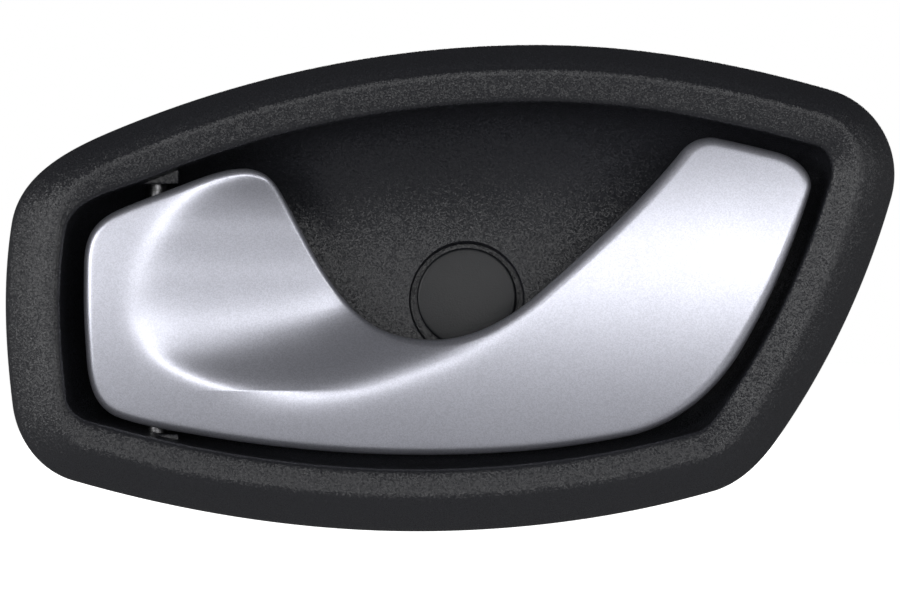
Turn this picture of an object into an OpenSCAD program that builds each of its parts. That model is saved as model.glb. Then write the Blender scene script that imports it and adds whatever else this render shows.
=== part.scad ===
// Interior door handle: a bezel with a finger bowl, and a pull lever hinged at its left end.
// X runs to the right, Z up and Y into the door. The origin is the centre of the fixing
// screw's hole, on the face that bears on the door's inner panel.

/* [Bezel] */
// Overall width of the bezel
bezel_w = 168; // [150:1:190]
// Overall height of the bezel
bezel_h = 91.8; // [84:0.2:104]
// Width of the rim at the left, seen from the front
rim_left = 10.4; // [8:0.1:12]
// Width of the rim at the right
rim_right = 12.2; // [9:0.1:14]
// Width of the rim at the bottom
rim_bottom = 11.8; // [9:0.1:14]
// Width of the rim at the top
rim_top = 11; // [8:0.1:13]
// Height of the rim's crest above the door trim
crest_h = 5; // [3.5:0.1:7]
// Fall of the rim from its crest to the opening
crest_fall = 1; // [0.4:0.1:2]
// Height of the outer edge before the rim starts to rise
edge_h = 0.9; // [0.5:0.1:2]
// Wall thickness of the moulding
housing_wall = 2.2; // [1.6:0.1:3]

/* [Bowl] */
// Depth of the bowl's floor behind the door trim
bowl_depth = 16; // [14:0.5:20]
// Depth from the bowl's floor to the face that bears on the door panel
boss_depth = 12; // [11:0.5:16]

/* [Lever] */
// Gap between the lever and the opening at the sides and the top
lever_gap = 3; // [2.6:0.1:3.6]
// Gap between the lever and the opening at the bottom
lever_gap_bottom = 2.1; // [1.5:0.1:3]
// How far the lever's face lies behind the crest at the hinge end
lever_inset = 2.8; // [2.2:0.1:4]
// How far the face rises from the hinge end to the grip end
lever_rise = 3; // [1:0.1:4]
// How far the lever's lower edge falls back
lever_crown = 3.2; // [1.5:0.1:4.5]
// Depth of the finger scoop below the face
scoop_depth = 9; // [6:0.5:11]
// Wall of the painted cover
cover_wall = 1.8; // [1.4:0.1:2.2]
// Depth of the lip round the back of the cover
cover_lip = 3.4; // [2.6:0.1:5]
// Clearance between the cover and the carrier inside it
nest_gap = 0.25; // [0.15:0.05:0.4]
// Thickness of the carrier plate
carrier_t = 2; // [1.6:0.1:2.6]
// Angle the lever opens to
lever_open = 20; // [15:1:21]

// Edge radius of the cover where it is plain
edge_plain = 1.5; // [1:0.1:2]
// Edge radius along the inner edge of the grip
edge_swoosh = 2.8; // [2:0.1:3.2]
// Edge radius round the grip's end
edge_grip = 2.2; // [1.6:0.1:2.6]
// Edge radius along the scoop's rim
edge_scoop = 0.8; // [0.5:0.1:1.2]

/* [Hinge] */
// Distance of the hinge from the bezel's left end
hinge_inset = 28.3; // [27:0.1:32]
// Depth of the hinge pin behind the crest
hinge_depth = 12.9; // [12.4:0.1:14]
// Diameter of the hinge pin
pin_d = 4; // [3:0.1:5]
// Running clearance on the pin, on the diameter
pin_play = 0.1; // [0.04:0.02:0.2]
// Outer diameter of the barrels that turn on the pin
barrel_d = 7.4; // [6.8:0.1:8]
// Length of each barrel
barrel_len = 8; // [6:0.5:10]
// Width of the blocks that hold the pin
pin_boss_d = 8.4; // [8:0.1:10]
// How far a pin block reaches past the opening
pin_boss_len = 5; // [4:0.5:8]
// Wire diameter of the return spring
spring_wire = 1; // [0.7:0.1:1.2]
// Turns of the return spring
spring_turns = 6; // [4:1:7]

/* [Screw and cap] */
// Diameter of the fixing screw's hole
screw_hole_d = 6.6; // [5:0.1:7.4]
// Wall of the sleeve that takes the screw's clamping load
sleeve_wall = 1.4; // [1:0.1:2]
// Length of the sleeve
sleeve_len = 4.6; // [3.5:0.1:6]
// Diameter of the cap
cap_d = 19; // [17:0.2:22]
// Thickness of the cap
cap_t = 1.6; // [1.2:0.1:2.2]
// Gap round the cap
cap_gap = 1.2; // [0.4:0.1:1.6]
// Width of the ledge under the cap
cap_ledge = 1.1; // [0.8:0.1:1.6]

/* [Cable arm and stops] */
// Width of the arm that pulls the cable
arm_w = 6; // [5:0.5:8]
// Height of the arm
arm_h = 8; // [6:0.5:10]
// How far the arm stands behind the hinge pin
arm_reach = 23; // [21:0.5:26]
// Distance of the arm's middle from the hinge pin
arm_offset = 15.5; // [15:0.5:18]
// Diameter of the seat for the cable's end
nipple_d = 5; // [4:0.1:6]
// Width of the slot that the cable passes through
cable_slot = 1.8; // [1.2:0.1:2.5]
// Thickness of the rubber stops
stop_t = 3; // [2:0.5:4]
// Rest clearance between the arm and a stop
stop_gap = 0.3; // [0.1:0.1:0.5]

/* [Hidden] */
$fn = 48;
eps = 0.01;

// Depths along Y, from the face that bears on the door panel
trim_y = -boss_depth - bowl_depth;
crest_y = trim_y - crest_h;
floor_y = -boss_depth;
hinge_y = crest_y + hinge_depth;

// Knots of the bezel's outline, counter-clockwise from the upper left: place across and up as
// shares of the overall width and height, and heading in degrees
bezel_knots = [
    [-0.511, 0.157, -99], [-0.510, -0.215, -83], [-0.442, -0.371, -16], [-0.013, -0.474, 2],
    [0.276, -0.393, 16], [0.348, -0.286, 55], [0.476, 0.209, 74], [0.408, 0.432, 164],
    [0.098, 0.524, 179], [-0.382, 0.359, 202]
];
bezel_left = bezel_w * -0.518;
hinge_x = bezel_left + hinge_inset;
rim_steps = 7;

function wrap(a) = a - 360 * round(a / 360);
function heading(a) = [cos(a), sin(a)];

// A point of the cubic that leaves knot a and reaches knot b along their headings, with its
// left-hand normal: [x, z, normal x, normal z]
function cubic(a, b, t) =
    let (p0 = [a[0], a[1]], p3 = [b[0], b[1]])
    let (arm = norm(p3 - p0) / (3 * pow(cos(wrap(b[2] - a[2]) / 4), 2)))
    let (p1 = p0 + arm * heading(a[2]), p2 = p3 - arm * heading(b[2]), s = 1 - t)
    let (p = s * s * s * p0 + 3 * s * s * t * p1 + 3 * s * t * t * p2 + t * t * t * p3)
    let (d = s * s * (p1 - p0) + 2 * s * t * (p2 - p1) + t * t * (p3 - p2))
    let (u = d / norm(d))
    [p[0], p[1], -u[1], u[0]];

function mix(a, b, t) = a + (b - a) * t;
function smooth(t) = let (c = min(1, max(0, t))) c * c * (3 - 2 * c);

// Blend of four side values by the direction of the inward normal
function side_blend(n, left, right, bottom, top) =
    n[0] * n[0] * (n[0] > 0 ? left : right) + n[1] * n[1] * (n[1] > 0 ? bottom : top);

function rim_at(n) = side_blend(n, rim_left, rim_right, rim_bottom, rim_top);
function crest_at(n) = min(rim_at(n) - 1.6, rim_at(n) * side_blend(n, 0.86, 0.56, 0.6, 0.5));
function gap_at(n) = side_blend(n, lever_gap, lever_gap, lever_gap_bottom, lever_gap);

function bezel_knot(i) =
    let (k = bezel_knots[i % len(bezel_knots)])
    [k[0] * bezel_w, k[1] * bezel_h, k[2]];

// The bezel's outline at share t of stretch i, moved in by the rim and a further inset
function inner_knot(i, t, inset) =
    let (c = cubic(bezel_knot(i), bezel_knot(i + 1), t), n = [c[2], c[3]])
    let (w = rim_at(n) + inset)
    [c[0] + n[0] * w, c[1] + n[1] * w, atan2(-n[0], n[1])];

bezel_line = [
    for (i = [0 : len(bezel_knots) - 1])
        for (j = [0 : rim_steps - 1])
            cubic(bezel_knot(i), bezel_knot(i + 1), j / rim_steps)
];
opening_line = [
    for (i = [0 : len(bezel_knots) - 1])
        for (j = [0 : rim_steps - 1])
            cubic(inner_knot(i, 0, 0), inner_knot(i + 1, 0, 0), j / rim_steps)
];
rim_n = len(bezel_line);

// Heights at which a closed outline crosses a given x
function crossings(line, x) = [
    for (i = [0 : len(line) - 1])
        let (a = line[i], b = line[(i + 1) % len(line)])
            if ((a[0] - x) * (b[0] - x) <= 0 && a[0] != b[0])
                mix(a[1], b[1], (x - a[0]) / (b[0] - a[0]))
];
pin_top = max(crossings(opening_line, hinge_x));
pin_bottom = min(crossings(opening_line, hinge_x));

// A ring of the rim, at distance u in from the outline and depth y
function rim_ring(u, y) = [
    for (i = [0 : rim_n - 1])
        let (o = bezel_line[i], e = opening_line[i], n = [o[2], o[3]])
        let (share = u(n) / rim_at(n))
            [mix(o[0], e[0], share), y(n), mix(o[1], e[1], share)]
];

function band_y(n) = crest_y + crest_fall * (rim_at(n) - crest_at(n)) / rim_right;
function lip_y(n) = band_y(n) + 1.6;

// The bowl's section at point i: distance from the bowl's spine and depth at angle a
bowl_mid = [bezel_w * -0.02, bezel_h * 0.02];
bowl_spine = 0.5;
function spine_at(e) = [mix(bowl_mid[0], e[0], bowl_spine), bowl_mid[1]];
// How square the bowl's section is: square round the hinge, where the lever swings in
function bowl_power(e) =
    let (squared = smooth((bezel_left * 0.35 - e[0]) / (bezel_w * 0.16)))
    mix(side_blend([e[2], e[3]], 6, 3.2, 3.6, 2.6), 9, squared);
function bowl_section(i, a) =
    let (e = opening_line[i], n = [e[2], e[3]], c = spine_at(e))
    let (reach = norm([e[0], e[1]] - c))
    [reach * pow(cos(a), 2 / bowl_power(e)), mix(lip_y(n), floor_y, sin(a))];

// A ring of the bowl, moved out of the bowl along the section's normal by off
function bowl_ring(a, off) = [
    for (i = [0 : rim_n - 1])
        let (e = opening_line[i], c = spine_at(e), step = 0.5)
        let (q = bowl_section(i, a))
        let (d = bowl_section(i, min(a + step, 89.9)) - bowl_section(i, max(a - step, 0.1)))
        let (m = a < 1 ? [1, 0] : [d[1], -d[0]] / norm(d))
        let (r = q[0] + off * m[0], dir = ([e[0], e[1]] - c) / norm([e[0], e[1]] - c))
            [c[0] + dir[0] * r, q[1] + off * m[1], c[1] + dir[1] * r]
];
function flat_ring(ring, y) = [for (p = ring) [p[0], y, p[2]]];

// Triangles that join one closed row of vertices to the next
function band(a, b) = [
    for (i = [0 : len(a) - 1])
        let (j = (i + 1) % len(a))
            each [[a[i], b[i], b[j]], [a[i], b[j], a[j]]]
];
function row(k, n) = [for (i = [0 : n - 1]) k * n + i];
function reversed(list) = [for (i = [len(list) - 1 : -1 : 0]) list[i]];

// Triangles that close a ring of vertices by a strip across it, from its place tip
function strip(ring, tip) =
    let (n = len(ring), half = floor(n / 2))
    let (v = [for (i = [0 : n]) ring[(tip + i) % n]])
        concat(
            [[v[0], v[1], v[n - 1]]],
            [for (i = [1 : half - 2]) each [[v[i], v[i + 1], v[n - i - 1]], [v[i], v[n - i - 1], v[n - i]]]],
            [[v[half - 1], v[half], v[n - half + 1]]]
        );

bowl_angles = [0, 14, 27, 40, 52, 63, 74, 83];
// Point of the opening's line at the bowl's left end, where the strip over its floor starts
bowl_tip = 5;

// The one moulding of rim and bowl, before its bosses and cut-outs
module bezel_shell() {
    wall = housing_wall;
    front = concat(
        [
            rim_ring(function (n) 0, function (n) trim_y),
            rim_ring(function (n) 0, function (n) trim_y - edge_h),
            rim_ring(function (n) 0.6, function (n) trim_y - edge_h - 0.7),
            rim_ring(function (n) crest_at(n) * 0.5, function (n) mix(trim_y - edge_h, crest_y, 0.68)),
            rim_ring(function (n) crest_at(n) * 0.82, function (n) mix(trim_y - edge_h, crest_y, 0.93)),
            rim_ring(function (n) crest_at(n), function (n) crest_y),
            rim_ring(function (n) rim_at(n) - 1.1, function (n) band_y(n)),
            rim_ring(function (n) rim_at(n) - 0.3, function (n) band_y(n) + 0.5)
        ],
        [for (a = bowl_angles) bowl_ring(a, 0)],
        [flat_ring(bowl_ring(86, 0), floor_y)]
    );
    back = concat(
        [flat_ring(bowl_ring(86, 0), floor_y + wall)],
        [for (k = [len(bowl_angles) - 1 : -1 : 0]) bowl_ring(bowl_angles[k], wall)],
        [
            rim_ring(function (n) rim_at(n) - wall - 0.2, function (n) crest_y + wall + 0.6),
            rim_ring(function (n) min(crest_at(n), rim_at(n) - wall - 1.2), function (n) crest_y + wall),
            rim_ring(function (n) wall, function (n) mix(trim_y - edge_h, crest_y, 0.45) + wall * 0.8),
            rim_ring(function (n) wall, function (n) trim_y)
        ]
    );
    rings = concat(front, back);
    last = len(front) - 1;
    faces = concat(
        [for (k = [0 : last - 1]) each band(row(k, rim_n), row(k + 1, rim_n))],
        [for (f = strip(row(last, rim_n), bowl_tip)) reversed(f)],
        strip(row(last + 1, rim_n), bowl_tip),
        [for (k = [last + 1 : len(rings) - 2]) each band(row(k, rim_n), row(k + 1, rim_n))],
        band(row(len(rings) - 1, rim_n), row(0, rim_n))
    );
    polyhedron([for (r = rings) each r], faces, convexity = 6);
}

// The lever's outline runs counter-clockwise in four sides: the outer edge along the opening,
// the grip's top, the inner edge back along the grip and the scoop, and the top of the hump.
// Each knot is [x, z, heading, edge radius].
function lever_knot(i, t, radius) =
    let (c = cubic(bezel_knot(i), bezel_knot(i + 1), t))
    concat(inner_knot(i, t, gap_at([c[2], c[3]])), [radius]);
function placed(k) = [k[0] * bezel_w, k[1] * bezel_h, k[2], k[3]];

grip_corner = placed([0.2415, 0.307, 51, edge_swoosh]);
hump_corner = placed([-0.206, 0.209, -61, edge_plain]);
outer_knots = [
    lever_knot(8, 0.755, edge_plain), lever_knot(8, 0.86, edge_plain), lever_knot(9, 0, edge_plain), lever_knot(0, 0.22, edge_plain),
    lever_knot(0, 0.85, edge_plain), lever_knot(2, 0.13, edge_plain), lever_knot(3, 0, edge_plain),
    lever_knot(3, 0.72, edge_plain), lever_knot(5, 0.22, edge_swoosh), lever_knot(5, 0.93, edge_grip)
];
outer_counts = [3, 3, 3, 4, 3, 9, 6, 5, 8];
grip_knots = [
    lever_knot(5, 0.93, edge_grip), lever_knot(7, 0.13, edge_grip), lever_knot(7, 0.36, edge_grip),
    concat([grip_corner[0], grip_corner[1], grip_corner[2] + 180], [edge_swoosh])
];
grip_counts = [3, 3, 3];
inner_knots = [
    hump_corner, placed([-0.122, -0.030, -42, edge_scoop]), placed([-0.039, -0.082, 0, edge_plain]),
    placed([0.080, 0.013, 41, edge_swoosh]), grip_corner
];
inner_counts = [16, 6, 8, 14];
hump_knots = [
    [hump_corner[0], hump_corner[1], hump_corner[2] + 180, edge_plain],
    lever_knot(8, 0.755, edge_plain)
];
hump_counts = [9];

// Points of a chain of knots, with the last knot: [x, z, normal x, normal z, edge radius]
function chain(knots, counts) = concat(
    [
        for (i = [0 : len(counts) - 1])
            for (j = [0 : counts[i] - 1])
                let (t = j / counts[i])
                    concat(cubic(knots[i], knots[i + 1], t), [mix(knots[i][3], knots[i + 1][3], t)])
    ],
    [concat(cubic(knots[len(counts) - 1], knots[len(counts)], 1), [knots[len(counts)][3]])]
);
function sum(list, i = 0) = i < len(list) ? list[i] + sum(list, i + 1) : 0;

cols = sum(outer_counts);
rows = sum(grip_counts);
crease_row = 4;
outer_side = chain(outer_knots, outer_counts);
grip_side = chain(grip_knots, grip_counts);
inner_side = [for (p = chain(inner_knots, inner_counts)) [p[0], p[1], -p[2], -p[3], p[4]]];
hump_side = reversed(chain(hump_knots, hump_counts));

// Depth of the scoop below the face, by column and by row
function scoop_at(i) = scoop_depth * smooth((i + 3) / 9) * smooth((28 - i) / 12);
function scoop_fall(j) = j <= crease_row ? 0 : 1 - pow(1 - (j - crease_row) / (rows - crease_row), 1.7);

// The whole outline: [x, z, normal x, normal z, edge radius, depth below the face]
lever_line = concat(
    [for (i = [0 : cols - 1]) concat(outer_side[i], [0])],
    [for (j = [0 : rows - 1]) concat(grip_side[j], [0])],
    [for (i = [cols : -1 : 1]) concat(inner_side[i], [scoop_at(i)])],
    [for (j = [rows : -1 : 1]) concat(hump_side[j], [scoop_at(0) * scoop_fall(j)])]
);
lever_n = len(lever_line);
lever_left = min([for (p = lever_line) p[0]]);
lever_right = max([for (p = lever_line) p[0]]);
lever_low = min([for (p = lever_line) p[1]]);
lever_top_at_hinge = max(crossings(lever_line, hinge_x));
lever_low_at_hinge = min(crossings(lever_line, hinge_x));

// Depth of the lever's face, without the scoop
crown_z = bezel_h * 0.1;
function face_y(x, z) =
    let (across = (x - lever_left) / (lever_right - lever_left))
    let (below = max(0, crown_z - z) / (crown_z - lever_low))
    crest_y + lever_inset - lever_rise * across + lever_crown * below * below;

function edge_in(p) = max(p[4], cover_wall) + 0.3;
function moved_in(p, u) = [p[0] + p[2] * u, p[1] + p[3] * u];

// The grid inside the edge: straight columns from the outer side over the crease to the inner
// side, bent at both ends to follow the hump and the grip's top
grid_outer = [for (p = outer_side) moved_in(p, edge_in(p))];
grid_inner = [for (p = inner_side) moved_in(p, edge_in(p))];
grid_grip = [for (p = grip_side) moved_in(p, edge_in(p))];
grid_hump = [for (p = hump_side) moved_in(p, edge_in(p))];
crease_knots = concat(
    [concat(grid_hump[crease_row], [186, 0])],
    [
        placed([-0.2995, 0.206, 208, 0]), placed([-0.3755, -0.022, 270, 0]),
        placed([-0.244, -0.1765, 358, 0]), placed([-0.019, -0.122, 10, 0]),
        placed([0.101, -0.055, 36, 0])
    ],
    [concat(grid_grip[crease_row], [60, 0])]
);
crease_counts = [4, 5, 6, 9, 8, 12];
crease = [for (p = chain(crease_knots, crease_counts)) [p[0], p[1]]];

function ruled(i, j) = j <= crease_row
    ? mix(grid_outer[i], crease[i], j / crease_row)
    : mix(crease[i], grid_inner[i], (j - crease_row) / (rows - crease_row));
bend = 2;
function grid_at(i, j) =
    ruled(i, j)
    + (grid_hump[j] - ruled(0, j)) * smooth(1 - i / bend)
    + (grid_grip[j] - ruled(cols, j)) * smooth(1 - (cols - i) / bend);
grid = [for (i = [0 : cols]) for (j = [0 : rows]) grid_at(i, j)];

// The grid's points at a depth behind the face, without the outermost skip cells
function grid_surface(behind, skip) = [
    for (i = [skip : cols - skip])
        for (j = [skip : rows - skip])
            let (p = grid[i * (rows + 1) + j])
                [p[0], face_y(p[0], p[1]) + scoop_at(i) * scoop_fall(j) + behind, p[1]]
];

// A ring of the lever's edge, at distance u in from the outline and a depth behind the face
function lever_ring(u, behind) = [
    for (p = lever_line)
        let (q = moved_in(p, u(p)))
            [q[0], face_y(q[0], q[1]) + p[5] + behind(p), q[1]]
];

// The rim and the triangles of a grid of nc by nr cells
function grid_rim(first, nc, nr) = concat(
    [for (i = [0 : nc - 1]) first + i * (nr + 1)],
    [for (j = [0 : nr - 1]) first + nc * (nr + 1) + j],
    [for (i = [nc : -1 : 1]) first + i * (nr + 1) + nr],
    [for (j = [nr : -1 : 1]) first + j]
);
function grid_faces(first, nc, nr) = [
    for (i = [0 : nc - 1])
        for (j = [0 : nr - 1])
            let (a = first + i * (nr + 1) + j, b = a + nr + 1)
                each [[b, a, a + 1], [b, a + 1, b + 1]]
];

// Painted cover: a crowned face with a rolled edge and a lip round its back
module lever_cover() {
    rings = [
        for (a = [90, 60, 30, 0])
            lever_ring(function (p) p[4] * (1 - cos(a)), function (p) p[4] * (1 - sin(a))),
        lever_ring(function (p) 0, function (p) p[4] + cover_lip),
        lever_ring(function (p) cover_wall, function (p) p[4] + cover_lip),
        lever_ring(function (p) cover_wall, function (p) cover_wall + p[4] / 2)
    ];
    front_first = len(rings) * lever_n;
    back_first = front_first + len(grid);
    faces = concat(
        grid_faces(front_first, cols, rows),
        band(row(0, lever_n), grid_rim(front_first, cols, rows)),
        [for (k = [0 : len(rings) - 2]) each band(row(k + 1, lever_n), row(k, lever_n))],
        band(grid_rim(back_first, cols, rows), row(len(rings) - 1, lever_n)),
        [for (f = grid_faces(back_first, cols, rows)) reversed(f)]
    );
    points = concat([for (r = rings) each r], grid_surface(0, 0), grid_surface(cover_wall, 0));
    color("#c9cacf") polyhedron(points, faces, convexity = 6);
}

plate_front = cover_wall + nest_gap;
plate_back = plate_front + carrier_t;
plate_skip = 1;

// The carrier's plate follows the cover's inner face, one cell short of its edge
module carrier_plate() {
    nc = cols - 2 * plate_skip;
    nr = rows - 2 * plate_skip;
    n = (nc + 1) * (nr + 1);
    faces = concat(
        grid_faces(0, nc, nr),
        band(grid_rim(n, nc, nr), grid_rim(0, nc, nr)),
        [for (f = grid_faces(n, nc, nr)) reversed(f)]
    );
    polyhedron(concat(grid_surface(plate_front, plate_skip), grid_surface(plate_back, plate_skip)), faces, convexity = 6);
}

// A cylinder along Z on the hinge axis
module on_hinge(d, from, to) {
    translate([hinge_x, hinge_y, from]) cylinder(d = d, h = to - from);
}

// A cylinder along Y behind the screw's axis
module on_screw(d, from, to) {
    translate([0, from, 0]) rotate([-90, 0, 0]) cylinder(d = d, h = to - from);
}

// Depth of the middle of the carrier's plate at the grid point nearest to a place
plate_points = grid_surface((plate_front + plate_back) / 2, plate_skip);
function plate_middle(x, z) =
    let (far = [for (p = plate_points) norm([p[0] - x, p[2] - z])])
    plate_points[search(min(far), far)[0]][1];

barrel_end = 2.6;
// How far the web under a barrel is narrower and shorter than the barrel, at each side
web_side = 0.6;
web_end = 1.4;
upper_barrel = [lever_top_at_hinge - barrel_end - barrel_len, lever_top_at_hinge - barrel_end];
lower_barrel = [lever_low_at_hinge + barrel_end, lever_low_at_hinge + barrel_end + barrel_len];
pin_bore = pin_d + pin_play;
arm_x = hinge_x + arm_offset;
arm_end = hinge_y + arm_reach;

// Web that joins a barrel to the plate, from the plate's middle to the pin's axis
module barrel_web(from, to) {
    left = hinge_x - barrel_d / 2 + web_side;
    right = hinge_x + barrel_d / 2 - web_side;
    function root(z) = max(plate_middle(left, z), plate_middle(right, z));
    translate([left, 0, 0]) rotate([90, 0, 90]) linear_extrude(right - left)
        polygon([[root(from), from], [hinge_y, from], [hinge_y, to], [root(to), to]]);
}

// Carrier: a plate inside the cover, with two barrels on the pin and the arm for the cable
module lever_carrier() {
    color("#242528") difference() {
        union() {
            carrier_plate();
            for (span = [upper_barrel, lower_barrel]) {
                on_hinge(barrel_d, span[0], span[1]);
                barrel_web(span[0] + web_end, span[1] - web_end);
            }
            translate([0, 0, -arm_h / 2]) linear_extrude(arm_h) polygon([
                [arm_x - arm_w / 2, plate_middle(arm_x - arm_w / 2, 0)],
                [arm_x + arm_w / 2, plate_middle(arm_x + arm_w / 2, 0)],
                [arm_x + arm_w / 2, arm_end], [arm_x - arm_w / 2, arm_end]
            ]);
        }
        on_hinge(pin_bore, lower_barrel[0] - 1, upper_barrel[1] + 1);
        translate([arm_x, arm_end - arm_w / 2, -arm_h / 2 + 2]) cylinder(d = nipple_d - 0.6, h = arm_h);
        translate([arm_x - arm_w, arm_end - arm_w / 2 - cable_slot / 2, -arm_h / 2 + 2])
            cube([arm_w, cable_slot, arm_h]);
    }
}

// Where the pin is held: from just clear of the lever to past the opening
boss_side = hinge_x + pin_boss_d / 2;
upper_boss = [max(crossings(lever_line, boss_side)) + 0.5, pin_top + pin_boss_len];
lower_boss = [pin_bottom - pin_boss_len, min(crossings(lever_line, boss_side)) - 0.5];
pin_head_t = 1;
pin_tail = 2;

module hinge_pin() {
    color("#9a9ca1") {
        on_hinge(pin_d, lower_boss[0] - pin_tail, upper_boss[1] + pin_head_t);
        on_hinge(pin_d + 2.4, upper_boss[1], upper_boss[1] + pin_head_t);
    }
}

clip_t = 0.6;
module pin_clip() {
    color("#8d8f94") difference() {
        on_hinge(pin_d + 5, lower_boss[0] - clip_t, lower_boss[0]);
        on_hinge(pin_d + 0.02, lower_boss[0] - clip_t - 1, lower_boss[0] + 1);
    }
}

// Return spring: turns round the pin and two legs that push the lever's left end outwards
spring_r = pin_d / 2 + 0.3 + spring_wire / 2;
spring_pitch = spring_wire + 0.25;
spring_leg = 10;
spring_z = -6;
// Turn of a leg that starts on the coil and ends at height h off the pin's axis
function leg_turn(h) = asin(h / norm([spring_r, spring_leg])) - atan2(spring_r, spring_leg);
leg_seat = spring_wire / 2 + 0.1;
leg_plate_y = face_y(hinge_x - spring_leg, spring_z) + plate_back;
spring_from = 270 + leg_turn(hinge_y - leg_plate_y - leg_seat);
spring_to = 360 * spring_turns + 90 - leg_turn(floor_y - hinge_y - leg_seat - 0.3);
function spring_turn_point(a) = [
    hinge_x + spring_r * cos(a),
    hinge_y + spring_r * sin(a),
    spring_z + spring_pitch * (a - spring_from) / 360
];
function tangent(a) = [-sin(a), cos(a), 0];
spring_steps = round((spring_to - spring_from) / 22.5);
spring_path = concat(
    [spring_turn_point(spring_from) - spring_leg * tangent(spring_from)],
    [
        for (k = [0 : spring_steps])
            spring_turn_point(mix(spring_from, spring_to, k / spring_steps))
    ],
    [spring_turn_point(spring_to) + spring_leg * tangent(spring_to)]
);

// A round wire of n sides along a path that stays near level
module wire(path, d, n) {
    last = len(path) - 1;
    points = [
        for (k = [0 : last])
            let (w = path[min(k + 1, last)] - path[max(k - 1, 0)])
            let (side = [w[1], -w[0], 0] / norm([w[0], w[1]]))
            let (up = cross(side, w) / norm(cross(side, w)))
                for (i = [0 : n - 1])
                    path[k] + d / 2 * (cos(360 * i / n) * side + sin(360 * i / n) * up)
    ];
    faces = concat(
        [row(0, n)],
        [for (k = [0 : last - 1]) each band(row(k, n), row(k + 1, n))],
        [reversed(row(last, n))]
    );
    polyhedron(points, faces, convexity = 8);
}

module return_spring() {
    color("#b4b6ba") wire(spring_path, spring_wire, 6);
}

pocket_d = cap_d + 2 * cap_gap;
ledge_d = pocket_d - 2 * cap_ledge - 2 * cap_gap;
pocket_floor = -sleeve_len;
cap_face = floor_y - 0.1;
cap_back = cap_face + cap_t;
sleeve_d = screw_hole_d + 2 * sleeve_wall;

// Cap over the screw: a disc with a rounded rim and a split skirt that springs into the pocket
module screw_cap() {
    skirt_len = 4;
    color("#2a2b2e") {
        rotate([-90, 0, 0]) rotate_extrude() polygon([
            [0, cap_face], [cap_d / 2 - 0.5, cap_face], [cap_d / 2 - 0.15, cap_face + 0.15],
            [cap_d / 2, cap_face + 0.5], [cap_d / 2, cap_back], [0, cap_back]
        ]);
        for (a = [45 : 90 : 315])
            rotate([0, a, 0]) rotate([-90, 0, 0]) rotate([0, 0, -25]) rotate_extrude(angle = 50)
                polygon([
                    [ledge_d / 2 - 1.5, cap_back - eps], [ledge_d / 2 - 0.3, cap_back - eps],
                    [ledge_d / 2 - 0.3, cap_back + skirt_len - 1], [ledge_d / 2 - 0.15, cap_back + skirt_len - 0.7],
                    [ledge_d / 2 - 0.7, cap_back + skirt_len], [ledge_d / 2 - 1.5, cap_back + skirt_len]
                ]);
    }
}

module screw_sleeve() {
    color("#a5a7ab") difference() {
        on_screw(sleeve_d, -sleeve_len, 0);
        on_screw(screw_hole_d, -sleeve_len - 1, 1);
    }
}

// Turns what is inside with the lever, to its open end
module opened() {
    translate([hinge_x, hinge_y, 0]) rotate([0, 0, -lever_open]) children();
}
// Distance along the opened arm at which a point dx from the hinge reaches depth y
function opened_reach(dx, y) = ((y - hinge_y) + dx * sin(lever_open)) / cos(lever_open);
function opened_x(dx, y) = dx * cos(lever_open) + opened_reach(dx, y) * sin(lever_open);

floor_back = floor_y + housing_wall;
stop_h = arm_h;
stop_left = arm_x - arm_w / 2 - stop_gap;
stop_right = arm_offset + arm_w / 2 + stop_gap;
holder_t = 2;
stop_len = 5;

module rest_stop() {
    color("#1b1b1c") translate([stop_left - stop_t, floor_back, -stop_h / 2]) cube([stop_t, stop_len, stop_h]);
}

module open_stop() {
    from = opened_reach(stop_right + stop_t, floor_back);
    color("#1b1b1c") opened() translate([stop_right, from, -stop_h / 2]) cube([stop_t, stop_len, stop_h]);
}

module stop_holders() {
    translate([stop_left - stop_t - holder_t, floor_back - 0.5, -stop_h / 2 - 1])
        cube([holder_t, stop_len + 1, stop_h + 2]);
    from = opened_reach(stop_right + stop_t + holder_t, floor_back - 0.4);
    opened() translate([stop_right + stop_t, from, -stop_h / 2 - 1])
        cube([holder_t, stop_len + 0.5, stop_h + 2]);
}

// Bracket that takes the end of the cable's sheath, left of the arm
sheath_d = 6;
bracket_x = hinge_x - 9;
module cable_bracket() {
    top = arm_end - arm_w / 2 + sheath_d / 2 + 1;
    difference() {
        translate([bracket_x, floor_back - 1.2, -7]) cube([4, top - floor_back + 1.2, 14]);
        translate([bracket_x - 1, arm_end - arm_w / 2, 0]) rotate([0, 90, 0]) cylinder(d = sheath_d, h = 6);
        translate([bracket_x - 1, arm_end - arm_w / 2, -sheath_d / 2 + 0.5]) cube([6, 20, sheath_d - 1]);
    }
}

// Snap hook on the back of the rim, at x, on the top (side 1) or the bottom (side -1)
hook_w = 8;
hook_t = 1.8;
trim_t = 2.6;
module snap_hook(x, side) {
    edge = side > 0 ? max(crossings(opening_line, x)) : min(crossings(opening_line, x));
    root = edge + side * (housing_wall + 1.2);
    translate([x - hook_w / 2, 0, root]) rotate([0, 90, 0]) rotate([0, 0, 90]) linear_extrude(hook_w)
        polygon([
            [crest_y + housing_wall * 0.5, 0], [trim_y + trim_t + 4, 0],
            [trim_y + trim_t + 4, side * hook_t * 0.7], [trim_y + trim_t + 0.2, side * (hook_t + 1.2)],
            [trim_y + trim_t, side * hook_t], [crest_y + housing_wall * 0.5, side * hook_t]
        ]);
}

// Block that holds one end of the pin
module pin_block(from, to) {
    translate([hinge_x - pin_boss_d / 2, hinge_y - pin_boss_d / 2, from])
        cube([pin_boss_d, pin_boss_d, to - from]);
}

hook_places = [[-0.17, 1], [0.24, 1], [-0.2, -1], [0.17, -1]];
rib_t = 1.4;
boss_d = pocket_d + 2 * housing_wall;

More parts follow.
